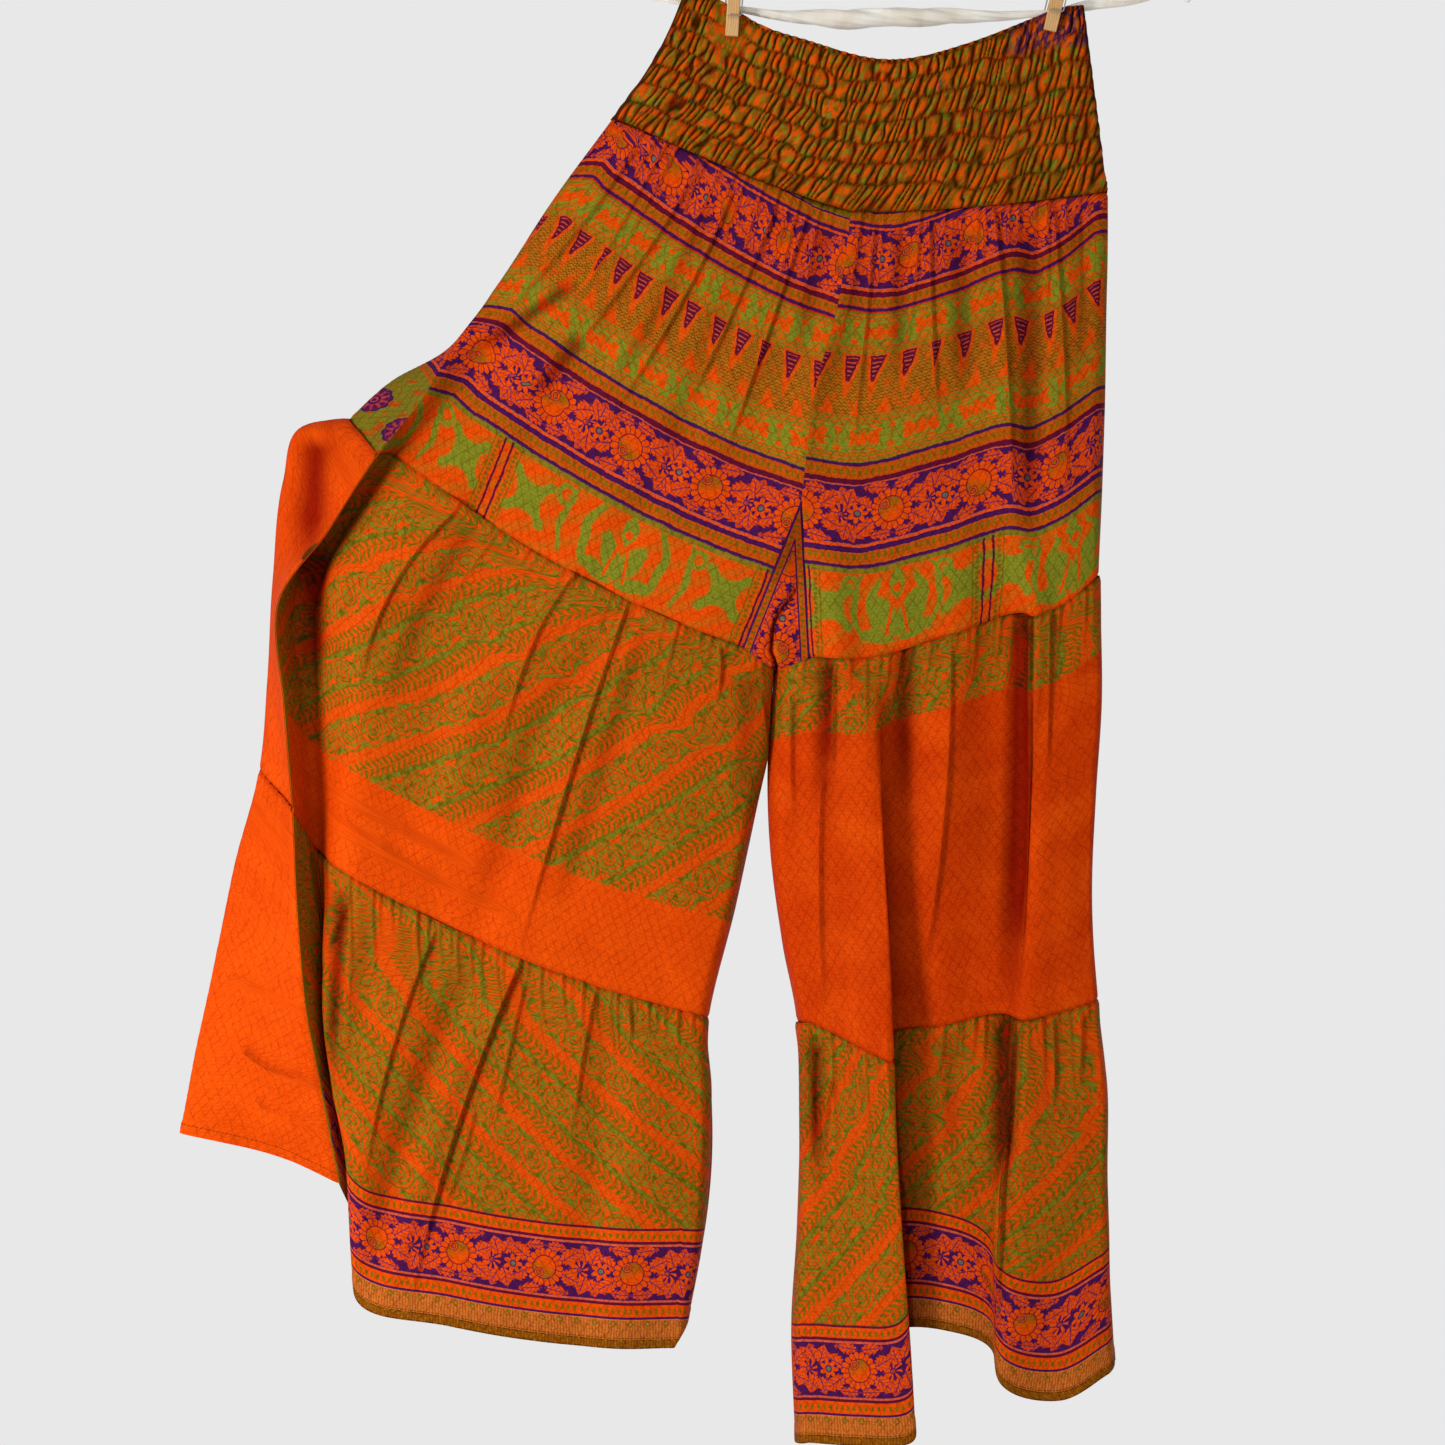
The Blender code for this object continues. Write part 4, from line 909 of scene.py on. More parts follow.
# Puckers between two elastics: pitch, lean by the sides, height and roundness of each, and how each course is
# set off from the next. Some stand in pairs, and fine ones lie by the elastics
PUCKER = 6.6
PUCKER_LEAN = 0.25
PUCKER_HEIGHT = 3.4
PUCKER_SIZE = 0.8
PUCKER_ROUND = 0.75
PUFF_ROUND = 0.65
COURSE_SHIFT = 7.3
COURSE_TURN = 12.9
COURSE_ENDS = (0.125, 0.125)
PAIR_PART = 0.35
PAIR_ROUND = 0.6
FINE_PITCH = 3.1
FINE_HEIGHT = 0.7
ELASTIC_RISE = 0.3
# Frill over the top elastic: part of the band's depth, pitch of its waves, rise and height of them
FRILL = 0.022
FRILL_WAVE = 7.5
FRILL_RISE = 1.2
FRILL_HEIGHT = 1.4
# Waves of the elastics: strength, size across and seed
COURSE_WAVES = [(0.035, 34, 61), (0.02, 12, 62)]
# Unevenness of the puckers, by what it changes: strength, size across and shift, step from course to course
# and shift, and what it adds to the layer's seed
UNEVEN = {
    "lean": (0.4, 60, 0, 0.7, 0, 1),
    "wander": (1.1, 13, 0, 1.7, 0, 0),
    "jitter": (0.4, 5, 0, 1.3, 0, 2),
    "pairs": (0.4, 14, 0, 1, 0, 6),
    "size": (0.3, 8, 40, 1.3, 5, 3),
    "fine": (2, 9, 0, 1, 0, 4),
    "frill": (0.6, 9, 0, 0, 0, 5),
}
# Flat of the band under a peg: half its width, and how far its foot and its fade reach
PEG_HOLD = 12
PEG_FOOT = 16
PEG_FADE = 9
BAND_CALM = 5
HELD_FLAT = 0.85


def waist_row(layer, count):
    """The waist seam from the left side seam to the right one."""
    right = hip_row("right", layer, 0.0)[::-1]
    return even(np.vstack([hip_row("left", layer, 0.0), right[1:]]), count)


def peg_grip(grid):
    """How far the band is pressed flat at each point: fully between the jaws of a peg."""
    held = np.zeros(grid.shape[:2])
    for peg in PEGS:
        beside = (grid[:, :, 0] / MM - peg.x) / PEG_HOLD
        over = clipped((grid[:, :, 2] / MM - peg.z + PEG_FOOT) / PEG_FADE)
        held = np.maximum(held, np.exp(-beside ** 4) * over)
    return held


def puckers(parts, at, run, seed):
    """Height in millimetres of the shirring, and its phase across: rounded ridges that lean and wander."""
    wave = sum(strength * smooth_noise(run / size, 0 * run, order) for strength, size, order in COURSE_WAVES)
    courses = (parts + wave * faded(parts, COURSE_ENDS)) * (BAND_ELASTICS - 1)
    course = np.floor(courses)
    inner = courses - course

    def uneven(kind, down):
        strength, size, shift, step, lift, order = UNEVEN[kind]
        return strength * smooth_noise(run / size + shift, down * step + lift, seed + order)

    def ridges(turns):
        return np.abs(np.sin(math.pi * turns))

    lean = uneven("lean", course) + PUCKER_LEAN * np.cos(math.pi * at)
    phase = run / PUCKER + COURSE_SHIFT * np.sin(course * COURSE_TURN) + lean * (inner - 0.5)
    phase = phase + uneven("wander", course) + uneven("jitter", courses)
    pairs = ridges(phase / 2 + uneven("pairs", courses)) ** PAIR_ROUND
    size = (PUCKER_SIZE + uneven("size", course)) * (1 - PAIR_PART + PAIR_PART * pairs)
    puff = np.sin(math.pi * inner) ** PUFF_ROUND
    fine = ridges(run / FINE_PITCH + uneven("fine", courses))
    raised = PUCKER_HEIGHT * puff * size * ridges(phase) ** PUCKER_ROUND + FINE_HEIGHT * (1 - puff) * fine
    frill = clipped(-parts / FRILL)
    ruffle = np.cos(2 * math.pi * (run / FRILL_WAVE + uneven("frill", courses)))
    return (ELASTIC_RISE + raised) * (1 - frill) + frill * (FRILL_RISE + FRILL_HEIGHT * ruffle), phase


def waistband(layer, material):
    """Shirred waistband: uneven puckers between its elastics, and a small frill over the top one."""
    columns = BAND_COLUMNS[layer]
    at = np.linspace(0, 1, columns)
    x, z, bow = spline([row.across for row in BAND_TOP], [row[1:] for row in BAND_TOP], at).T
    top = np.stack([x, SIGN[layer] * bow, z], axis=1) * MM
    top[[0, -1], 1] = 0
    drop = waist_row(layer, columns) - top
    parts = np.linspace(-FRILL, 1, BAND_ROWS[layer])[:, None]
    inside = clipped(parts)
    grid = top + drop * parts[:, :, None]
    grid[:, :, 1] = top[:, 1] + drop[:, 1] * inside ** BAND_FLARE
    grid[:, :, 0] += BAND_HOLLOW * np.sin(math.pi * inside) * (1 - at) ** 4
    out = -SIGN[layer] * normals(grid)
    run = run_along(grid, 1) / MM
    length = run_along(grid, 0) / MM
    raised, phase = puckers(parts, at, run, BAND_SEED[layer])
    held = peg_grip(grid)
    calm = clipped(np.minimum(run, run[:, -1:] - run) / BAND_CALM)
    heights = raised * calm * (1 - HELD_FLAT * held)
    grid = grid + out * heights[:, :, None] * MM
    grid[:, :, 1] += GARMENT_Y
    occlusion_shade = shelter(grid, np.full(run.shape, SIGN[layer]), BAND_SHELTER)
    # Painted shade, in the first value of the place layer: dark in the puckers' valleys and where sheltered,
    # lighter where a peg holds the band flat
    layers = {
        "print": ((run * 1.4 + 0.3 * PUCKER * phase) * MM, length * MM),
        "place": (clipped(heights / PUCKER_HEIGHT + 0.5 * held - 0.9 * occlusion_shade), run / run[:, -1:]),
        "fold": (0, run * MM),
        "line": (FAR * MM, FAR * MM),
    }
    obj = sheet_mesh(f"cloth_waistband_{layer}", grid, layers, layer == "back", material)
    belongs(obj, f"waistband_{layer}")


# Gusset

GUSSET_ROWS = 60
GUSSET_COLUMNS = 48
GUSSET_TUCK = 2.5 * MM
GUSSET_DROP = 4.5 * MM
GUSSET_EDGE = 20
# Slit where the gusset folds on itself: place down the gusset and place across it, and the fold's depth
SLIT = [(0, 0.8), (0.19, 0.8), (0.24, 0.6), (0.29, 0.42), (0.36, 0.42), (0.47, 0.54), (0.7, 0.5), (1, 0.5)]
SLIT_DEPTH = 4.0 * MM
SLIT_WIDTH = 1.4
# Parts of the gusset's length: where the slit opens and over what it opens and closes, how far the drop at
# the crotch reaches, and the top with painted shade
SLIT_FROM = 0.19
SLIT_OPENS = 0.04
SLIT_CLOSES = 0.2
DROP_REACH = 0.16
SHADE_TO = 0.25
SHADE_FADE = 0.12
SHADE_DARK = 0.5
GUSSET_EDGE_DEPTH = 1.6 * MM
GUSSET_ROUGH = 0.5 * MM
GUSSET_NARROW = 14
# Steps that keep a direction where two points are the same
NUDGE = np.array([1e-6, 0, 0])


def inside_line(side, grid, down):
    """How far points lie inside the gusset's seam to one side of tier 1, or inside its line drawn on."""
    inside = []
    for layer in SIGN:
        apex = centre_point(side, layer, APEX)
        towards = leg_corner(side, layer) - apex
        other = leg_corner("right" if side == "left" else "left", layer) - apex
        across = unit(np.array([-towards[2], 0, towards[0]]))
        across *= np.sign(np.dot(other, across))
        inside.append((grid - apex) @ across)
    return np.where(down < 0.5, inside[0], inside[1])


def gusset_side(side):
    """One side of the gusset, down the front, under the crotch and up the back."""
    chain = []
    for layer in SIGN:
        edge = [centre_point(side, layer, station) for station in np.linspace(APEX, 1, GUSSET_EDGE)]
        part = np.vstack([edge, leg_row(side, layer, 1.0)[-TIP_COLUMNS:]])
        chain.append(part if layer == "front" else part[::-1][1:])
    return even(np.vstack(chain), GUSSET_ROWS)


def gusset(material):
    """Kite-shaped gusset, from the foot of the front centre seam to that of the back one."""
    left, right = [gusset_side(side) for side in SIDES]
    spread = GUSSET_TUCK * unit(right - left + NUDGE)
    left = left - spread
    right = right + spread
    parts = np.linspace(0, 1, GUSSET_COLUMNS)[None, :]
    down = np.linspace(0, 1, GUSSET_ROWS)[:, None]
    grid = left[:, None] + (right - left)[:, None] * parts[:, :, None]
    inside = np.minimum(inside_line("left", grid, down), inside_line("right", grid, down))
    grid[:, :, 2] -= GUSSET_DROP * smooth_ramp(1 - np.abs(down - 0.5) / DROP_REACH)
    run = run_along(grid, 1)
    length = run_along(grid, 0)
    out = normals(grid + NUDGE / 10 * parts[:, :, None])
    out[[0, -1]] = out[[1, -2]]
    wide = run[:, -1:] / MM
    middle = spline([at for at, _ in SLIT], [[across] for _, across in SLIT], down[:, 0])
    from_slit = (parts - middle) * wide
    is_open = clipped((down - SLIT_FROM) / SLIT_OPENS) * clipped((1 - down) / SLIT_CLOSES)
    heights = -SLIT_DEPTH * bell(from_slit / SLIT_WIDTH) * is_open
    edge = np.minimum(run, run[:, -1:] - run)
    heights -= GUSSET_EDGE_DEPTH * clipped(1 - edge / GUSSET_TUCK) * np.abs(out[:, :, 1])
    rough = smooth_noise(parts * 7 + 0 * down, down * 16, 51)
    heights += GUSSET_ROUGH * rough * clipped(wide / GUSSET_NARROW)
    grid = grid + out * heights[:, :, None]
    grid[:, :, 1] += GARMENT_Y
    # Painted shade: dark over the top of the gusset and in its slit, with a dark line along the slit
    occlusion_shade = SHADE_DARK * smooth_ramp((SHADE_TO - down) / SHADE_FADE)
    layers = {
        "print": (length, run - run[:, -1:] / 2),
        "place": (inside, down),
        "fold": (np.maximum(clipped(-heights / (0.8 * SLIT_DEPTH)), occlusion_shade), run),
        "line": crease_line(from_slit * 0.3, is_open),
    }
    obj = sheet_mesh("cloth_gusset", grid, layers, False, material)
    belongs(obj, "gusset")


# Camera, at the photo's angle

PHOTO_PIXELS = 1445
PHOTO_SCALE = 0.74 * MM
PHOTO_MIDDLE = (-124.7 * MM, -522.8 * MM)
CAMERA_AWAY = 2.6
CAMERA_SEES = 50
SENSOR = 36.0


def camera():
    data = bpy.data.cameras.new("camera")
    data.sensor_width = SENSOR
    data.lens = SENSOR * CAMERA_AWAY / (PHOTO_PIXELS * PHOTO_SCALE)
    data.clip_end = CAMERA_SEES
    obj = new_object(data)
    obj.location = (PHOTO_MIDDLE[0], GARMENT_Y - CAMERA_AWAY, PHOTO_MIDDLE[1])
    obj.rotation_euler = (math.pi / 2, 0, 0)
    bpy.context.scene.camera = obj


# Twisted cloth line: its strands, how far a strand runs in one turn, and its girth in parts of its radius

LINE_STEPS = 300
LINE_SIDES = 36
LINE_LOBES = 3
LINE_TWIST = 0.052
LINE_CORE = 0.78
LOBE_HEIGHT = 0.24
LOBE_ROUND = 0.6
# Its fine folds: strength, count round it and turn along it
LINE_FOLDS = [(0.07, 5, 2 * math.pi / 0.031), (0.04, 9, 210)]


def ring_mesh(name, rings, material):
    """Closed tube through rings of points, with end caps."""
    rings = np.asarray(rings)
    count, sides = rings.shape[:2]
    faces = []
    for i in range(count - 1):
        for k in range(sides):
            a = i * sides + k
            b = i * sides + (k + 1) % sides
            faces.append((a, b, b + sides, a + sides))
    faces.append(tuple(range(sides))[::-1])
    faces.append(tuple(range((count - 1) * sides, count * sides)))
    mesh = bpy.data.meshes.new(name)
    mesh.from_pydata([tuple(v) for v in rings.reshape(-1, 3)], [], faces)
    mesh.validate()
    mesh.update()
    mesh.shade_smooth()
    return new_object(mesh, material)


def rings_along(points, heading, radius_of):
    """Rings square to a heading, with a radius for each step and angle."""
    heading = unit(heading)
    side = unit(np.cross(heading, np.array([0.0, 1.0, 0.0])))
    up = np.cross(side, heading)
    angles = np.linspace(0, 2 * math.pi, LINE_SIDES, endpoint=False)
    rings = []
    for step, (place, across, over) in enumerate(zip(points, side, up)):
        spokes = np.outer(np.cos(angles), across) + np.outer(np.sin(angles), over)
        rings.append(place + radius_of(step, angles)[:, None] * spokes)
    return rings


def cloth_line(material):
    """A strip of cloth wrung into three soft strands, from knot to knot."""
    places = np.array([(row.x, row.y, row.z) for row in LINE]) * MM
    run = run_of(places)
    at = np.linspace(0, run[-1], LINE_STEPS)
    points = spline(run, places, at)
    radii = spline(run, [[row.radius * MM] for row in LINE], at)[:, 0]

    def radius_of(step, angles):
        lobes = 0.5 + 0.5 * np.cos(LINE_LOBES * angles + 2 * math.pi * at[step] / LINE_TWIST)
        folds = sum(high * np.sin(count * angles + turn * at[step]) for high, count, turn in LINE_FOLDS)
        return radii[step] * (LINE_CORE + LOBE_HEIGHT * lobes ** LOBE_ROUND + folds)

    line = ring_mesh("line_twisted", rings_along(points, np.gradient(points, axis=0), radius_of), material)
    knots = [
        knot("left", points[0], unit(points[0] - points[3]), material),
        knot("right", points[-1], unit(points[-1] - points[-4]), material),
    ]
    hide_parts("line")
    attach(line, "root")


# Knots: girth along each, by the distance from the line's end, both in parts of the radius

KNOT_RADIUS = 12 * MM
KNOT_STEPS = 60
# Their wraps: strength, count round them and turn along them, and the least and most girth
KNOT_WRAPS = [(0.10, 2, 5.2), (0.07, 3, -7.5)]
KNOT_LEAST = 0.85
KNOT_MOST = 1.05
KNOT_GIRTH = [
    (0, 0.42), (0.14, 0.78), (0.6, 1.0), (1.1, 0.88), (1.5, 0.98), (1.86, 0.64), (2.05, 0.40), (2.9, 0.34),
]


def knot(side, end, away, material):
    """Overhand knot: wraps round a lumpy ball, with a short tail."""
    reach = np.linspace(0, KNOT_GIRTH[-1][0], KNOT_STEPS)
    points = end + away * reach[:, None] * KNOT_RADIUS
    girth = spline([at for at, _ in KNOT_GIRTH], [[wide] for _, wide in KNOT_GIRTH], reach)[:, 0]

    def radius_of(step, angles):
        wraps = sum(high * np.cos(count * angles + turn * reach[step]) for high, count, turn in KNOT_WRAPS)
        return KNOT_RADIUS * girth[step] * np.clip(1 + wraps, KNOT_LEAST, KNOT_MOST)

    rings = rings_along(points, np.tile(away, (KNOT_STEPS, 1)), radius_of)
    return belongs(ring_mesh(f"knot_{side}", rings, material), f"line_knot_{side}")


# Pegs: the side outline of each half, as distance from the middle plane and height over the jaw tips

PEG_WIDTH = 9.6 * MM
PEG_EDGE = 0.5 * MM
PEG_SHARP = math.radians(40)
PEG_OUTLINE = {
    "front": [
        (3.2, 0.2), (3.2, 10), (5.2, 12), (5.2, 26), (2.4, 28), (4.8, 29.5), (4.8, 38), (1.6, 40),
        (6.0, 71.8), (10.2, 71.8), (9.7, 42), (10.3, 26), (9.5, 10), (6.4, 0.2),
    ],
    "back": [
        (3.2, 0.2), (3.2, 10), (9.4, 12), (9.4, 26.5), (2.4, 28), (4.8, 29.5), (4.8, 38), (1.6, 40),
        (6.0, 71.8), (10.2, 71.8), (9.7, 42), (11.7, 28), (11.7, 11), (6.4, 0.2),
    ],
}


def peg_half(peg, layer, material):
    """One wooden half of a peg, with its edges rounded and two grooves over the jaw."""
    outline = PEG_OUTLINE[layer]
    verts = []
    for across in (-PEG_WIDTH / 2, PEG_WIDTH / 2):
        for out, up in outline:
            x = peg.x * MM + across * math.cos(peg.lean) + up * MM * math.sin(peg.lean)
            z = peg.z * MM - across * math.sin(peg.lean) + up * MM * math.cos(peg.lean)
            verts.append((x, GARMENT_Y + SIGN[layer] * out * MM, z))
    count = len(outline)
    faces = [tuple(range(count)), tuple(range(2 * count - 1, count - 1, -1))]
    for i in range(count):
        j = (i + 1) % count
        faces.append((j, i, i + count, j + count))
    if layer == "front":
        faces = [face[::-1] for face in faces]
    mesh = bpy.data.meshes.new(f"wood_{peg.side}_{layer}")
    mesh.from_pydata(verts, [], faces)
    mesh.update()
    obj = new_object(mesh, material)
    bevel = obj.modifiers.new("edges", "BEVEL")
    bevel.width = PEG_EDGE
    bevel.segments = 3
    bevel.limit_method = "ANGLE"
    mesh.shade_smooth()
    mesh.set_sharp_from_angle(angle=PEG_SHARP)
    return belongs(obj, f"peg_{peg.side}_{layer}")


# Stage

FLOOR_SIDES = 64
FLOOR_RADIUS = 1.3
FLOOR_X = -0.12
FLOOR_Z = -1.58
FLOOR_GREY = (0.80, 0.80, 0.80, 1)
FLOOR_ROUGH = 0.9
SHOWN_GREY = (0.807, 0.807, 0.807, 1)
SOFT_GREY = (0.46, 0.46, 0.46, 1)
LIGHTS_AIM = (-0.12, 0.0, -0.5)
LIGHTS = rows("name place size power tint", [
    ("key", (-1.35, -0.95, -0.62), 0.45, 19, (1.0, 0.98, 0.95)),
    ("fill", (1.6, -2.2, 0.5), 1.6, 3, (0.97, 0.98, 1.0)),
    ("top", (-0.5, -1.6, 1.3), 0.8, 8, (1.0, 0.99, 0.97)),
    ("back", (0.8, 2.4, 0.9), 1.2, 40, (1.0, 0.98, 0.95)),
])


def stage():
    """Pale floor, pale world and soft studio light."""
    mat = bpy.data.materials.new("floor_pale")
    mat.use_nodes = True
    shader = mat.node_tree.nodes["Principled BSDF"]
    shader.inputs["Base Color"].default_value = FLOOR_GREY
    shader.inputs["Roughness"].default_value = FLOOR_ROUGH
    mesh = bpy.data.meshes.new("floor")
    angles = np.linspace(0, 2 * math.pi, FLOOR_SIDES, endpoint=False)
    verts = [(FLOOR_RADIUS * math.cos(a) + FLOOR_X, FLOOR_RADIUS * math.sin(a), FLOOR_Z) for a in angles]
    mesh.from_pydata(verts, [], [tuple(range(FLOOR_SIDES))])
    mesh.update()
    new_object(mesh, mat)
    world = bpy.data.worlds.new("studio")
    world.use_nodes = True
    nodes = world.node_tree.nodes
    link = world.node_tree.links.new
    shown = nodes["Background"]
    shown.inputs["Color"].default_value = SHOWN_GREY
    soft = nodes.new("ShaderNodeBackground")
    soft.inputs["Color"].default_value = SOFT_GREY
    mix = nodes.new("ShaderNodeMixShader")
    link(nodes.new("ShaderNodeLightPath").outputs["Is Camera Ray"], mix.inputs[0])
    link(soft.outputs[0], mix.inputs[1])
    link(shown.outputs[0], mix.inputs[2])
    link(mix.outputs[0], nodes["World Output"].inputs["Surface"])
    bpy.context.scene.world = world
    for row in LIGHTS:
        data = bpy.data.lights.new(row.name, "AREA")
        data.shape = "DISK"
        data.size = row.size
        data.energy = row.power
        data.color = row.tint
        obj = new_object(data)
        obj.location = row.place
        way = np.array(LIGHTS_AIM) - np.array(row.place)
        pitch = math.atan2(math.hypot(way[0], way[1]), -way[2])
        obj.rotation_euler = (pitch, 0, math.atan2(way[1], way[0]) - math.pi / 2)
    bpy.context.scene.view_settings.view_transform = "Standard"


# Colours

def dye(red, green, blue):
    """Linear colour of an 8-bit display colour."""
    parts = []
    for value in (red, green, blue):
        value = value / 255
        parts.append(value / 12.92 if value <= 0.04045 else ((value + 0.055) / 1.055) ** 2.4)
    return (*parts, 1.0)


ORANGE = dye(228, 78, 6)
VINE_ORANGE = dye(215, 78, 8)
BAND_ORANGE = dye(208, 80, 8)
RUST = dye(196, 52, 2)
BRIGHT = dye(244, 96, 12)
PEACH = dye(212, 112, 44)
STRIP = dye(192, 82, 10)
GOLD = dye(176, 108, 20)
BROWN = dye(142, 82, 10)
UMBER = dye(86, 44, 4)
OLIVE = dye(124, 98, 14)
GREEN = dye(122, 118, 26)
LEAF = dye(96, 88, 10)
BLADE = dye(126, 134, 32)
SLATE = dye(104, 104, 84)
PURPLE = dye(72, 20, 78)
MAROON = dye(96, 14, 46)
PINK = dye(208, 88, 60)
# Painted shade: the dark lines along creases, gathers and the gusset's slit
CREASE_LINE_SHADE = dye(52, 12, 4)
# Tints that multiply a colour: painted shade inside folds, the weave's own crackle, and painted shade between
# the band's puckers
SHADOW = (0.34, 0.10, 0.20, 1.0)
CRACKLE = (0.50, 0.26, 0.40, 1.0)
PUCKER_SHADOW = (0.17, 0.10, 0.08, 1.0)
CLOTH_GLOSS = (1.0, 0.45, 0.10, 1.0)
COTTON = dye(252, 248, 238)
COTTON_WORN = dye(226, 214, 192)
WOOD = dye(222, 178, 118)
WOOD_RING = dye(186, 130, 74)
STEEL = dye(176, 174, 168)
STEEL_SPOT = dye(104, 86, 66)


# Materials

class Term:
    """A number worked out by a material's nodes, with plain arithmetic."""

    def __init__(self, paint, socket):
        self.paint = paint
        self.socket = socket

    def __add__(self, other):
        return self.paint.math("ADD", self, other)

    def __sub__(self, other):
        return self.paint.math("SUBTRACT", self, other)

    def __rsub__(self, other):
        return self.paint.math("SUBTRACT", other, self)

    def __mul__(self, other):
        return self.paint.math("MULTIPLY", self, other)

    def __truediv__(self, other):
        return self.paint.math("DIVIDE", self, other)

    def __abs__(self):
        return self.paint.math("ABSOLUTE", self)

    __radd__ = __add__
    __rmul__ = __mul__


# One flat colour laid over others: where its shape is under 0, how soft its edge is, and how strong it is
Coat = namedtuple("Coat", "colour shape soft strength", defaults=(0.3, None))


class Paint:
    """One material: its node tree, and shapes drawn as distances in millimetres."""

    def __init__(self, name):
        self.mat = bpy.data.materials.new(name)
        self.mat.use_nodes = True
        self.tree = self.mat.node_tree
        self.shader = self.tree.nodes["Principled BSDF"]

    def add(self, kind, **settings):
        node = self.tree.nodes.new(kind)
        for key, value in settings.items():
            setattr(node, key, value)
        return node

    def put(self, value, socket):
        if isinstance(value, Term):
            self.tree.links.new(value.socket, socket)
        else:
            socket.default_value = value

    def math(self, operation, *values, clamp=False):
        node = self.add("ShaderNodeMath", operation=operation, use_clamp=clamp)
        for value, socket in zip(values, node.inputs):
            self.put(value, socket)
        return Term(self, node.outputs[0])

    def ramp(self, value, gain, shift):
        """A value stretched and shifted, held from 0 to 1."""
        return self.math("MULTIPLY_ADD", value, gain, shift, clamp=True)

    def place(self, layer, scale=1000.0):
        """The two values of a mesh's named layer, in millimetres."""
        split = self.add("ShaderNodeSeparateXYZ")
        self.tree.links.new(self.add("ShaderNodeUVMap", uv_map=layer).outputs[0], split.inputs[0])
        return Term(self, split.outputs[0]) * scale, Term(self, split.outputs[1]) * scale

    def noise(self, u, v, size, detail=1.0, shift=0.0):
        """Three separate noises, 0 to 1, with features about as large as the size in millimetres."""
        join = self.add("ShaderNodeCombineXYZ")
        self.put(u, join.inputs[0])
        self.put(v, join.inputs[1])
        join.inputs[2].default_value = shift
        node = self.add("ShaderNodeTexNoise")
        node.inputs["Scale"].default_value = 1.0 / size
        node.inputs["Detail"].default_value = detail
        self.tree.links.new(join.outputs[0], node.inputs["Vector"])
        split = self.add("ShaderNodeSeparateColor")
        self.tree.links.new(node.outputs["Color"], split.inputs[0])
        return [Term(self, socket) for socket in split.outputs]

    def low(self, *terms):
        """Union of shapes."""
        result = terms[0]
        for term in terms[1:]:
            result = self.math("MINIMUM", result, term)
        return result

    def high(self, *terms):
        """What shapes have in common."""
        result = terms[0]
        for term in terms[1:]:
            result = self.math("MAXIMUM", result, term)
        return result

    def wrap(self, value, period):
        return self.math("WRAP", value, period / 2, -period / 2)

    def sin(self, value):
        return self.math("SINE", value)

    def cos(self, value):
        return self.math("COSINE", value)

    def far(self, x, y):
        return self.math("SQRT", self.math("MULTIPLY_ADD", x, x, y * y))

    def polar(self, x, y):
        """Distance from the origin, and the angle there."""
        return self.far(x, y), self.math("ARCTAN2", y, x)

    def inside(self, distance, soft=0.3):
        """1 inside a shape and 0 outside, with a soft edge."""
        return self.ramp(distance, -0.5 / soft, 0.5)

    def turned(self, x, y, at_x, at_y, angle):
        """Coordinates along and across a direction from a point."""
        c = math.cos(math.radians(angle))
        s = math.sin(math.radians(angle))
        dx = x - at_x
        dy = y - at_y
        return dx * c + dy * s, dy * c - dx * s

    def mixed(self, blend, mask, base, colour):
        node = self.add("ShaderNodeMix", data_type="RGBA", blend_type=blend)
        self.put(mask, node.inputs[0])
        self.put(base, node.inputs[6])
        self.put(colour, node.inputs[7])
        return Term(self, node.outputs[2])

    def over(self, base, colour, mask):
        """A colour painted over a base where the mask is 1."""
        return self.mixed("MIX", mask, base, colour)

    def laid(self, base, *coats):
        """A base with flat colours laid over it in turn."""
        for values in coats:
            coat = Coat(*values)
            mask = self.inside(coat.shape, coat.soft)
            base = self.over(base, coat.colour, mask if coat.strength is None else mask * coat.strength)
        return base

    def tinted(self, base, colour, amount):
        """A base multiplied by a colour where the amount is 1."""
        return self.mixed("MULTIPLY", amount, base, colour)

    def shaded(self, base, amount):
        """A base multiplied by a grey."""
        join = self.add("ShaderNodeCombineXYZ")
        for socket in join.inputs:
            self.put(amount, socket)
        return self.mixed("MULTIPLY", 1.0, base, Term(self, join.outputs[0]))

    def bands(self, value, stops, last):
        """Flat bands of colour: each stop is where one starts."""
        node = self.add("ShaderNodeValToRGB")
        self.put(self.math("DIVIDE", value, last, clamp=True), node.inputs[0])
        ramp = node.color_ramp
        ramp.interpolation = "CONSTANT"
        ramp.elements.remove(ramp.elements[1])
        ramp.elements[0].position = 0.0
        ramp.elements[0].color = stops[0][1]
        for start, colour in stops[1:]:
            ramp.elements.new(start / last).color = colour
        return Term(self, node.outputs[0])

    def drops(self, u, across, wide, tall):
        """Row of upright drops, by the distance across from the row's middle line."""
        return self.far(self.wrap(u, DROP_PITCH) / wide, across / tall) - 1.0

    def finished(self, colour, height, strength, distance, **surface):
        """The material with its colour, a fine relief and the surface's other values."""
        self.put(colour, self.shader.inputs["Base Color"])
        bump = self.add("ShaderNodeBump")
        bump.inputs["Strength"].default_value = strength
        bump.inputs["Distance"].default_value = distance * MM
        self.put(height, bump.inputs["Height"])
        self.tree.links.new(bump.outputs[0], self.shader.inputs["Normal"])
        for name, value in surface.items():
            self.shader.inputs[name.replace("_", " ")].default_value = value
        return self.mat


# Prints. Each motif's numbers are its own places and sizes in the print, in millimetres

DROP_PITCH = 4.6
LEAF_TEETH = 3.8


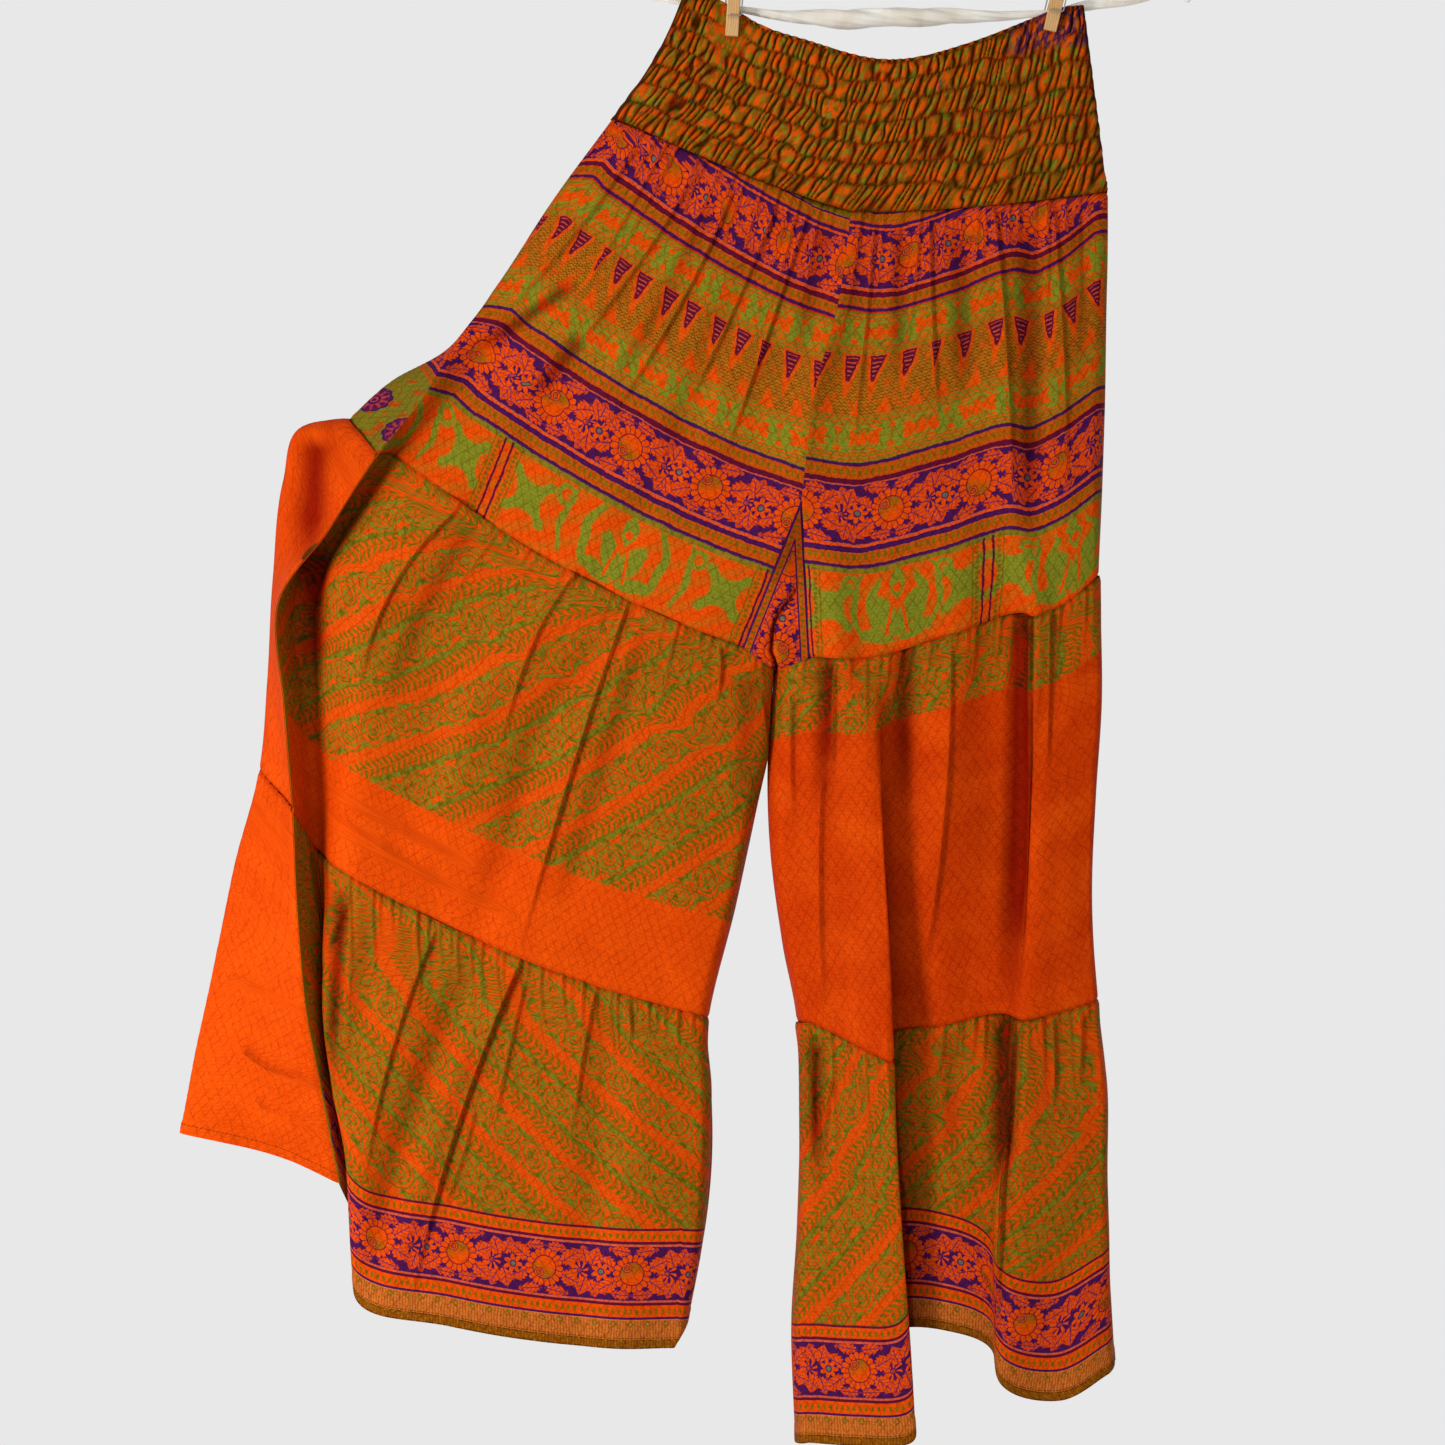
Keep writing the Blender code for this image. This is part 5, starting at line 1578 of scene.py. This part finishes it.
def motif_leaf(p, x, y, at_x, at_y, angle, length, width):
    """Toothed leaf that points away from its foot, and its veins."""
    a, b = p.turned(x, y, at_x, at_y, angle)
    t = a / length
    side = abs(b)
    fat = t * (1.0 - t) * (4.9 * width) * (1.25 - 0.5 * t)
    teeth = abs(p.wrap(a + side * 0.9, LEAF_TEETH)) * 1.1
    shape = p.high(side - fat + teeth - 0.9, a - length)
    rib = p.high(side - 0.42, a - 0.84 * length)
    vein = p.high(abs(p.wrap(a - side * 1.0, LEAF_TEETH)) - 0.32, side - fat * 0.7, 2.6 - a)
    return shape, p.low(rib, vein)


def petal(p, x, y, at_x, at_y, angle, length, width):
    """Plain leaf shape that points away from its foot."""
    a, b = p.turned(x, y, at_x, at_y, angle)
    t = a / length
    return abs(b) - t * (1.0 - t) * (4.0 * width) - 0.2


# Leaves about each rosette: foot, angle, length and width
FLORAL_LEAVES = [
    (12.5, -5.0, -34, 20, 5.2),
    (13.0, 3.0, 27, 19, 5.0),
    (1.5, 16.5, 9, 19, 3.4),
    (0.5, -17.5, 3, 17, 3.0),
    (20.0, -1.0, -2, 10, 2.6),
    (33.5, 4.0, 108, 17, 4.4),
    (34.0, -6.0, -112, 15, 4.0),
]
FLORAL_HALF = 21.5
FLORAL_PERIOD = 66


def floral(p, base, u, y, period=FLORAL_PERIOD, size=1.0):
    """Floral border on purple: rosettes with toothed leaves about them, and small flowers between."""
    flip = p.math("SIGN", p.cos(u * (math.pi / period)))
    x = p.wrap(u, period) / size
    y = y * flip / size
    drawn = [motif_leaf(p, abs(x), y, *leaf) for leaf in FLORAL_LEAVES]
    leaves = p.low(*[leaf for leaf, _ in drawn])
    veins = p.low(*[vein for _, vein in drawn])
    base = p.laid(
        base,
        (PURPLE, abs(y) - FLORAL_HALF),
        (ORANGE, leaves),
        (RUST, p.high(leaves, -0.9 - leaves), 0.5, 0.7),
        (PURPLE, p.high(veins, leaves), 0.3, 0.9),
    )
    # Daisy on the left and a pinwheel on the right
    r, turn = p.polar(x + 25.5, y - 0.5)
    base = p.laid(
        base,
        (PURPLE, r - 7.4),
        (ORANGE, r - 3.6 - 4.2 * abs(p.cos(turn * 3.5))),
        (PURPLE, r - 2.9),
        (SLATE, r - 1.9),
    )
    r, turn = p.polar(p.wrap(x - 28.5, 200), y)
    spokes = abs(p.cos(turn * 4 + r * 0.12))
    base = p.laid(
        base,
        (ORANGE, p.high(r - 8.2, 0.25 * r - spokes * r + 0.55 * r)),
        (PURPLE, abs(r - 2.1) - 0.4),
    )
    # Rosette
    r, turn = p.polar(x, y)
    scallop = abs(p.cos(turn * 9))
    edge = r - 13.4 - 2.0 * scallop
    tip = p.ramp(y + x * -0.4, 0.12, 0.45)
    streak = 0.75 + 0.25 * p.cos(p.math("ARCTAN2", y - 5.0, x + 4.5) * 22)
    ring = p.far(x + 4.2, y - 4.6)
    return p.laid(
        base,
        (PURPLE, edge - 0.7),
        (ORANGE, edge),
        (MAROON, p.high(scallop * r / 9 - 0.30, abs(r - 12.2) - 2.5)),
        (MAROON, abs(r - 9.3) - 0.42),
        (OLIVE, r - 8.8, 0.3, tip * streak),
        (MAROON, ring - 3.9),
        (ORANGE, ring - 3.3),
        (MAROON, abs(ring - 1.9) - 0.35),
        (OLIVE, ring - 1.1),
    )


SCROLL_PERIOD = 44
SCROLL_HALF = 10.4


def scroll_band(p, base, u, y):
    """Scroll border: crossed green blades and curls on olive, among orange flowers, leaves and buds."""
    high = abs(y)
    region = high - SCROLL_HALF
    patch = p.noise(u, y, 5.0, 1.0, 4.0)
    ground = p.over(GOLD, OLIVE, p.ramp(patch[0], 5.0, -2.0) * 0.7)
    x = p.wrap(u, SCROLL_PERIOD)
    r, turn = p.polar(x, y)
    side = abs(p.wrap(u + SCROLL_PERIOD / 2, SCROLL_PERIOD))
    teeth = 0.45 * p.sin(u * 1.9) * p.sin(y * 2.1)
    blades = p.low(
        petal(p, side, high, 0.4, 0.2, 24, 18, 2.2),
        petal(p, side, high, 1.5, 1.0, 62, 12, 1.8),
        petal(p, abs(x), high, 8.8, 1.5, 58, 11, 2.3),
        p.high(abs(p.wrap(r - turn * 0.8, 5.0)) - 0.9, r - 9.6, 4.6 - r),
    ) + 0.3 * teeth
    orange = p.low(
        r - 3.4 - 2.2 * abs(p.cos(turn * 2.5 + 0.6)),
        p.far(side * 0.8, high - 7.4) - 2.2,
        petal(p, side, y, 9.0, 5.5, -44, 12, 3.2),
        petal(p, side, y, 8.0, -6.0, 36, 10, 2.6),
        petal(p, abs(x), high, 4.0, 8.6, 4, 9, 1.6),
    ) + teeth
    return p.laid(
        base,
        (ground, region),
        (BLADE, p.high(blades, region), 0.4),
        (ORANGE, p.high(orange, region), 0.5),
        (OLIVE, p.high(abs(p.wrap(u + y * 0.6, 4.2)) - 0.3, orange + 1.4, region), 0.3, 0.8),
        (BLADE, p.high(abs(high - SCROLL_HALF + 1.4) - 0.45, region)),
    )


TEMPLE_TOP = 108.0
TEMPLE_FOOT = 154.0
TEMPLE_PITCH = 23


def temple_band(p, base, u, v):
    """Temple border: hatched gold, laddered triangles that point down, and small ones up from its foot."""
    region = abs(v - (TEMPLE_TOP + TEMPLE_FOOT) / 2) - (TEMPLE_FOOT - TEMPLE_TOP) / 2
    hatch = p.wrap(v + 0.6 * p.sin(u * 1.9), 2.5)
    tufts = p.noise(u, v * 0.6, 4.0, 2.0, 14.0)
    down = v - TEMPLE_TOP
    x = abs(p.wrap(u, TEMPLE_PITCH))
    small = x - 6.3 + 0.25 * down
    rungs = p.high(abs(p.wrap(down, 3.3)) - 0.42, small + 1.4, 3.2 - down, down - 19.6)
    between_x = abs(p.wrap(u + TEMPLE_PITCH / 2, TEMPLE_PITCH))
    return p.laid(
        base,
        (UMBER, p.high(abs(hatch) - 0.45, region), 0.4, 0.75),
        (ORANGE, region, 0.3, p.ramp(tufts[0], 9.0, -4.9) * 0.5),
        (ORANGE, p.high(x - 8.4 + 0.23 * down, region), 0.8, 0.85),
        (MAROON, p.high(small, 1.6 - down, down - 21.0)),
        (PINK, rungs, 0.25),
        (ORANGE, p.high(between_x - 5.8 + 0.40 * (TEMPLE_FOOT - v), region), 0.6, 0.9),
    )


MOTIF_SHRINK = 0.82
MOTIF_TOP = 268.0
MOTIF_MIDDLE = 296.0
BOX_PERIOD = {"hip_left": 216, "hip_right": 138}


def large_motifs(p, base, u, v, period):
    """Boxes between double lines: a green star by each end, and rings round leaves in the middle."""
    region = MOTIF_TOP - v
    y = (v - MOTIF_MIDDLE) * MOTIF_SHRINK
    x = p.wrap(u + period / 2, period)
    edge = abs(abs(x) - period / 2)
    x = x * MOTIF_SHRINK
    side = abs(x)
    tall = abs(y)
    period = period * MOTIF_SHRINK
    star_x = abs(side - period * 0.37)
    star = p.high(
        p.high(star_x, tall) - 14.5,
        10.5 - p.far(star_x - 19.0, y),
        10.5 - p.far(star_x, tall - 19.0),
    )
    r = p.far(x, y * 0.85)
    bent = 0.6 * p.sin(y * 0.3)
    thin = 0.06 * tall
    arcs = p.high(
        p.low(abs(r - period * 0.145 + bent) - 3.1 + thin, abs(r - period * 0.235 - bent) - 2.3 + thin),
        tall - 20.0,
        10.0 - side,
    )
    hook = p.high(abs(p.far(side - period * 0.25, y + 13.0) - 5.0) - 1.5, period * 0.21 - side)
    leaf = p.low(
        petal(p, side, y, 0.0, 20.0, -64, 30, 6.0),
        petal(p, side, y, 1.0, 22.0, -20, 24, 4.2),
        petal(p, side, y, 0.0, -2.0, -90, 20, 4.6),
        petal(p, side, y, 2.0, 4.0, -28, 16, 3.6),
    )
    green = p.low(star, arcs, leaf, hook) + 0.3 * p.sin(u * 1.3) * p.sin(v * 1.5)
    middle = p.low(p.far(x, y + 9.0) - 2.6, p.high(abs(side - 3.0 - 0.20 * y) - 1.0, abs(y - 9) - 10))
    drops = p.far(p.wrap(v, 3.6) / 1.2, (edge - 8.0) / 1.6) - 1.0
    return p.laid(
        base,
        (GOLD, p.high(abs(p.wrap(u * 0.5 + v * 0.7, 13)) - 2.6, region), 2.0, 0.5),
        (BLADE, p.high(green, region), 0.5),
        (ORANGE, p.high(middle, region), 0.4),
        (OLIVE, p.high(p.low(drops, abs(edge - 11.4) - 0.6), region), 0.4),
        (MAROON, p.high(abs(edge - 3.4) - 0.9, region)),
    )


DAISY_TOP = 262.0
DAISY_MIDDLE = 304.0
DAISY_PITCH = 46


def back_motifs(p, base, u, v):
    """Foot of the back panels: purple daisies on mottled olive."""
    region = DAISY_TOP - v
    patch = p.noise(u, v, 9.0, 2.0, 8.0)
    mottled = p.over(GREEN, RUST, p.ramp(patch[0], 8.0, -4.3) * 0.8)
    x = p.wrap(u + 20, DAISY_PITCH)
    y = v - DAISY_MIDDLE
    r = p.far(x, y)
    rays = abs(p.cos(p.math("ARCTAN2", x, y) * 5))
    middle = abs(r - 8.5) - 3.0
    gaps = p.high(0.30 - rays * r / 14.0, middle)
    return p.laid(
        base,
        (mottled, region),
        (PURPLE, p.high(r - 13.0 - 1.5 * rays, region)),
        (ORANGE, p.low(p.high(0.0 - gaps, middle), abs(r - 2.6) - 0.6), 0.3, 0.7),
    )


# Tier 1's bands from its top, and what lies on them: dotted strips, fine lines with the half height of each,
# scroll bands and floral bands
HIP_BANDS = [
    (0, OLIVE), (1, PURPLE), (2.5, STRIP), (10, PURPLE), (12.4, ORANGE), (13.3, PINK), (15, PURPLE),
    (58, PINK), (59.6, ORANGE), (60.6, MAROON), (64.4, STRIP), (72.6, PURPLE), (75.6, RUST), (76.6, GREEN),
    (108, GOLD), (154, GREEN), (188, PURPLE), (191, STRIP), (200.4, MAROON), (204, PINK), (206, PURPLE),
    (248, PINK), (249.6, ORANGE), (250.4, PURPLE), (254, STRIP), (263, PURPLE), (266, GREEN), (270.5, ORANGE),
]
HIP_LAST = 340.0
HIP_STRIPS = (6.3, 68.6, 195.7, 258.5)
HIP_LINES = [(81, 2.8), (104, 3.6), (157.5, 3.2), (184.5, 3.2)]
HIP_MIDDLE = 130.0
HIP_SCROLLS = (92, 171)
HIP_FLORALS = (36.5, 227)
STRIP_HALF = 3.6


def hip_print(p, u, v):
    """Border prints of tier 1, in bands one under the other."""
    lower = p.math("GREATER_THAN", v, HIP_MIDDLE)
    strip = p.low(*[abs(v - at) for at in HIP_STRIPS])
    fine = p.low(*[abs(v - at) - half for at, half in HIP_LINES])
    base = p.laid(
        p.bands(v, HIP_BANDS, HIP_LAST),
        (OLIVE, p.high(p.drops(u, strip, 1.3, 2.3), strip - STRIP_HALF), 0.35),
        (ORANGE, p.high(abs(p.wrap(v + 0.4 * p.sin(u * 0.9), 2.4)) - 0.5, fine), 0.3, 0.8),
    )
    base = temple_band(p, base, u, v)
    base = scroll_band(p, base, u, v - HIP_SCROLLS[0] - (HIP_SCROLLS[1] - HIP_SCROLLS[0]) * lower)
    return floral(p, base, u, v - HIP_FLORALS[0] - (HIP_FLORALS[1] - HIP_FLORALS[0]) * lower)


# Diagonal vine print: its period, the rows of arrowheads, the green bands and the curls
VINE_PERIOD = 94.0
VINE_ARROWS = 25.4
VINE_GREEN = 15.6
RING_PITCH = 25
VINE_ANGLE = {"vine_left": 46, "vine_right": 46, "foot_left": -24, "foot_right": 46}


def curled(p, a, w, bend):
    """One row of ringed curls joined by a wave, with buds in the corners."""
    x = p.wrap(a, RING_PITCH)
    y = w + 2.0 * p.sin(a * (math.pi / RING_PITCH)) * bend
    r, turn = p.polar(x, y)
    bud_x = abs(p.wrap(a + RING_PITCH / 2, RING_PITCH))
    ragged = 0.5 * p.sin(a * 2.3) * p.sin(w * 2.1)
    wave = 9.6 * p.sin(a * (math.pi / RING_PITCH) + 0.5) * bend
    return p.low(
        p.high(r - 5.2, 1.5 - p.far(x - 1.2, y + 0.8), abs(r - 3.3 + 0.3 * turn) * -1.0 + 0.5),
        abs(r - 7.9 + 0.2 * turn) - 0.75,
        abs(r - 11.2 - 0.25 * turn) - 0.6,
        p.high(abs(y * 0.92 - wave) - 0.9, 12.0 - r),
        p.far(bud_x - 1.2, abs(w) - 9.4) - 2.0,
        petal(p, bud_x, abs(w), 0.2, 7.0, 40, 8, 1.2),
    ) + ragged


def vine_print(p, u, v, angle):
    """Diagonal bands: rows of arrowheads, and between them curls on orange by turns with curls on green."""
    a, q = p.turned(u, v, 0, 0, -angle)
    patch = p.noise(u, v, 6.0, 1.0, 18.0)
    green = p.over(GREEN, LEAF, p.ramp(patch[0], 7.0, -3.3) * 0.8)
    w = p.wrap(q, VINE_PERIOD)
    edge = abs(abs(w) - VINE_ARROWS)
    arrow = abs(p.wrap(a + 0.62 * edge, 5.3)) - 1.75 + 0.10 * edge
    on_orange = p.high(curled(p, a, w, 1), abs(w) - 14.5)
    w = p.wrap(q + VINE_PERIOD / 2, VINE_PERIOD)
    band = abs(w) - VINE_GREEN
    on_green = p.high(curled(p, a + 9, w, -1), abs(w) - 13.2)
    return p.laid(
        VINE_ORANGE,
        (OLIVE, p.high(arrow, edge - 5.6, 0.4 - edge), 0.4),
        (green, on_orange, 0.45),
        (OLIVE, abs(on_orange) - 0.3, 0.3, 0.6),
        (green, band, 0.4),
        (OLIVE, abs(band) - 0.5, 0.35),
        (VINE_ORANGE, on_green, 0.45),
        (OLIVE, abs(on_green + 0.1) - 0.25, 0.3, 0.6),
    )


# Hem border's bands from the hem up, its dotted strips, and its plain ribbed foot
HEM_BANDS = [
    (0, UMBER), (0.9, BROWN), (5.6, UMBER), (6.4, PEACH), (21, PURPLE), (22.8, ORANGE), (31.5, MAROON),
    (33.5, PINK), (35.2, PURPLE), (74.5, PINK), (76.0, MAROON), (78.2, ORANGE), (86.0, MAROON),
]
HEM_LAST = 88.0
HEM_STRIPS = (27.1, 82.1)
HEM_RIBBED = 20.5
HEM_FLORAL = 54.9


def hem_border(p, base, u, w):
    """Border print over the hem, by the distance from it."""
    strip = p.low(*[abs(w - at) for at in HEM_STRIPS])
    fleck = p.noise(u, w, 2.4, 1.0, 17.0)
    foot = w - HEM_RIBBED
    paint = p.laid(
        p.bands(w, HEM_BANDS, HEM_LAST),
        (OLIVE, p.high(p.drops(u, strip, 1.2, 2.1), strip - STRIP_HALF), 0.35),
        (GOLD, foot, 0.3, p.ramp(fleck[0], 6.0, -2.9) * 0.7),
        (UMBER, p.high(abs(p.wrap(u, 2.2)) - 0.4, foot), 0.4, 0.55),
        (OLIVE, abs(abs(p.wrap(u, 13)) + abs(w - 18) - 2.1) - 0.65),
    )
    paint = floral(p, paint, u, HEM_FLORAL - w, 65, 0.915)
    return p.laid(base, (paint, w - HEM_LAST, 0.25))


# Cloth

WEAVE = 9.2
DIAMOND = 6.4
RIB = 2.6
PRINT_SCREEN = 0.8
PLAIN_SCREEN = 0.7
# Painted shade that makes the plain cloth of the right leg's tier 2 darker and redder
RIGHT_LEG_SHADE = 0.6
PLAIN_FOOT = 73.0
VINE_FOOT = 55.0
SIDE_LINE = 3.4
STITCH_UP = 7.6
STITCH_PITCH = 3.2


def cloth_surface(p, colour, u, v):
    """Yarns, slubs, weave relief and gloss, the same on every cloth, darker and redder by painted shade in its
    folds and with painted dark lines on its creases.
    """
    slub = p.noise(u, v * 0.12, 1.1, 1.0, 3.0)
    thread = p.noise(u * 0.15, v, 1.0, 1.0, 9.0)
    cloud = p.noise(u, v, 26.0, 2.0, 7.0)
    colour = p.shaded(colour, 0.72 + 0.22 * slub[0] + 0.22 * thread[0] + 0.14 * cloud[0])
    # Painted shade inside folds and troughs and along seams, darker and redder
    painted_shade, _ = p.place("fold", 1.0)
    colour = p.tinted(colour, SHADOW, painted_shade)
    # Painted shade: a thin dark line along the nearest crease or gather
    apart, near = p.place("line")
    colour = p.laid(colour, (CREASE_LINE_SHADE, abs(apart) - 0.25, 0.35, p.ramp(near, -0.5, 1.0) * 0.7))
    relief = p.sin(u * WEAVE) * p.sin(v * WEAVE) * 0.3 + slub[1] + thread[1]
    return p.finished(
        colour, relief, 0.45, 0.3, Roughness=0.55, Specular_IOR_Level=0.06, Specular_Tint=CLOTH_GLOSS)


def wobbled(p, u, v):
    """The print's place, shifted a little as hand printing and gathers do."""
    slow = p.noise(u, v, 17.0, 1.0, 1.0)
    fast = p.noise(u, v, 2.6, 0.0, 5.0)
    x = u + 2.6 * (slow[0] - 0.5) + 1.1 * (fast[0] - 0.5)
    y = v + 2.2 * (slow[1] - 0.5) + 1.1 * (fast[1] - 0.5)
    return x, y


def screened(p, base, u, v, amount=PRINT_SCREEN):
    """Fine dark crackle of the cloth's own weave, in uneven diamonds with faint ribs across."""
    wander = p.noise(u, v, 5.0, 1.0, 13.0)
    a = u * 0.82 + v * 0.57 + 2.2 * wander[0]
    b = u * 0.82 - v * 0.57 + 2.2 * wander[1]
    mesh = p.inside(p.low(abs(p.wrap(a, DIAMOND)), abs(p.wrap(b, DIAMOND))) - 0.34, 0.5)
    rib = p.inside(abs(p.wrap(v + 0.9 * wander[1], RIB)) - 0.35, 0.6)
    fleck = p.noise(u, v, 2.0, 1.0, 21.0)
    base = p.tinted(base, CRACKLE, p.ramp(fleck[0], 5.0, -2.2) * 0.3 * amount)
    return p.tinted(base, CRACKLE, p.high(mesh * p.ramp(wander[2], 3.0, -0.6), rib * 0.4) * amount)


def plain_cloth(p, u, v, shade_amount=0.0):
    """Plain orange cloth, its dye a little uneven, and darker and redder by painted shade where an amount of it
    is given.
    """
    blotch = p.noise(u, v, 34.0, 2.0, 11.0)
    base = p.over(ORANGE, RUST, p.ramp(blotch[0], 2.0, shade_amount - 0.75) * (0.5 + shade_amount / 2))
    base = p.over(base, BRIGHT, p.ramp(blotch[1], 2.0, -0.95) * 0.5)
    return screened(p, base, u, v, PLAIN_SCREEN)


def print_material(name):
    """Printed or plain cloth by the name of its print."""
    p = Paint(f"cloth_{name}")
    raw_u, raw_v = p.place("print")
    to_foot, _ = p.place("place")
    _, run = p.place("fold")
    u, v = wobbled(p, raw_u, raw_v)
    if name == "hip_back":
        colour = screened(p, back_motifs(p, hip_print(p, u, v), u, v), u, v)
    elif name in BOX_PERIOD:
        colour = screened(p, large_motifs(p, hip_print(p, u, v), u, v, BOX_PERIOD[name]), u, v)
    elif name in VINE_ANGLE:
        colour = vine_print(p, u, v, VINE_ANGLE[name])
        if name.startswith("foot"):
            colour = hem_border(p, colour, u, to_foot)
        colour = screened(p, colour, u, v)
        if name == "vine_left":
            colour = p.laid(colour, (plain_cloth(p, u, v), to_foot - PLAIN_FOOT + v - raw_v, 0.6))
        elif name == "vine_right":
            # Painted shade: the right leg's plain cloth darker and redder
            colour = p.laid(colour, (plain_cloth(p, u, v, RIGHT_LEG_SHADE), VINE_FOOT - v, 0.6))
    else:
        colour = plain_cloth(p, u, v)
    if name in ("vine_left", "foot_left"):
        colour = p.laid(colour, (OLIVE, run - SIDE_LINE, 0.5))
    if "foot" in name:
        stitch = p.high(abs(to_foot - STITCH_UP) - 0.35, abs(p.wrap(raw_u, STITCH_PITCH)) - 1.1)
        colour = p.laid(colour, (UMBER, stitch, 0.25, 0.85))
    return cloth_surface(p, colour, raw_u, raw_v)


# Where the band's purple corner starts across it, how far down it reaches, and how steep its edge is
CORNER_START = 0.815
CORNER_DEPTH = 26.0
CORNER_SLOPE = 40.0


def band_material():
    """Shirred waistband: a close print of leaves stretched over the puckers, with painted shade between them.
    """
    p = Paint("cloth_band")
    u, v = p.place("print")
    shade, part = p.place("place", 1.0)
    patch = p.noise(u, v * 0.75, 5.4, 2.0, 2.0)
    base = p.over(BROWN, GREEN, p.ramp(patch[0], 10.0, -4.9))
    base = p.over(base, BAND_ORANGE, p.ramp(patch[1], 12.0, -5.8))
    base = p.over(base, PURPLE, p.ramp(patch[2], 12.0, -8.0) * 0.6)
    corner = p.inside((CORNER_START - part) * 100.0, 2.0)
    corner = corner * p.inside(v - CORNER_DEPTH + CORNER_SLOPE * (0.9 - part), 3.0)
    plum = p.over(PURPLE, MAROON, p.ramp(patch[0], 8.0, -3.9))
    base = p.over(base, plum, corner * p.ramp(patch[1], -8.0, 4.6) * 0.9)
    base = p.tinted(base, PUCKER_SHADOW, p.ramp(shade, -2.1, 1.25))
    return cloth_surface(p, base, u, v)


GUSSET_STRIP = [(0, PURPLE), (1.2, STRIP), (5.6, PURPLE)]
GUSSET_STRIP_WIDTH = 6.9


def gusset_material():
    """Gusset cut from the floral border, with a dotted strip along both sides."""
    p = Paint("cloth_gusset")
    u, v = p.place("print")
    edge, _ = p.place("place")
    x, y = wobbled(p, u, v)
    strip = p.bands(edge, GUSSET_STRIP, GUSSET_STRIP_WIDTH)
    strip = p.laid(strip, (OLIVE, p.drops(x, edge - 3.4, 1.1, 1.7), 0.35))
    colour = p.laid(floral(p, PURPLE, x + 20, y), (strip, edge - GUSSET_STRIP_WIDTH + 0.1))
    return cloth_surface(p, screened(p, colour, x, y), u, v)


# Line and pegs

def object_place(p):
    """The three coordinates of a piece, in millimetres."""
    split = p.add("ShaderNodeSeparateXYZ")
    p.tree.links.new(p.add("ShaderNodeTexCoord").outputs["Object"], split.inputs[0])
    return [Term(p, socket) * 1000.0 for socket in split.outputs]


def cotton_material():
    """Twisted cotton: fine yarns that follow the twist, a little grubby."""
    p = Paint("cotton")
    x, y, z = object_place(p)
    yarn = p.sin((x + z * 0.8 + y * 0.6) * 4.6)
    fuzz = p.noise(x, z, 1.4, 2.0, 1.0)
    cloud = p.noise(x, y, 14.0, 2.0, 4.0)
    base = p.over(COTTON, COTTON_WORN, p.ramp(cloud[0], 2.2, -0.85))
    colour = p.shaded(base, 0.90 + 0.06 * yarn + 0.10 * fuzz[0])
    return p.finished(colour, yarn * 0.5 + fuzz[1], 0.6, 0.3, Roughness=0.9, Sheen_Weight=0.3)


def wood_material():
    """Bare pale wood, its grain along the peg."""
    p = Paint("peg_wood")
    x, y, z = object_place(p)
    grain = p.noise(x * 5.0 + y * 5.0, z * 0.22, 4.0, 3.0, 2.0)
    pores = p.noise(x * 12.0, z * 0.9, 3.0, 1.0, 6.0)
    rings = 0.5 + 0.5 * p.sin(x * 3.4 + y * 2.1 + 5.0 * grain[0])
    colour = p.shaded(p.over(WOOD, WOOD_RING, rings * 0.55), 0.82 + 0.26 * grain[1] - 0.10 * pores[0])
    return p.finished(colour, pores[1] + rings * 0.3, 0.3, 0.2, Roughness=0.62)


def steel_material():
    """Dull galvanised wire with a few dark spots."""
    p = Paint("peg_steel")
    x, y, z = object_place(p)
    spots = p.noise(x, y + z, 1.2, 2.0, 3.0)
    colour = p.over(STEEL, STEEL_SPOT, p.ramp(spots[0], 4.0, -2.4))
    return p.finished(colour, spots[1], 0.25, 0.1, Metallic=1.0, Roughness=0.38)


def main():
    camera()
    cloth_line(cotton_material())
    stage()
    wood = wood_material()
    for peg in PEGS:
        peg_half(peg, "front", wood)
        peg_half(peg, "back", wood)
    steel = steel_material()
    for peg in PEGS:
        bpy.data.objects[f"peg_{peg.side}_spring"].material_slots[0].material = steel
    materials = {}
    for panel in PANELS:
        if panel.print_name not in materials:
            materials[panel.print_name] = print_material(panel.print_name)
        cloth_panel(panel, materials[panel.print_name])
    band = band_material()
    waistband("front", band)
    waistband("back", band)
    gusset(gusset_material())


main()
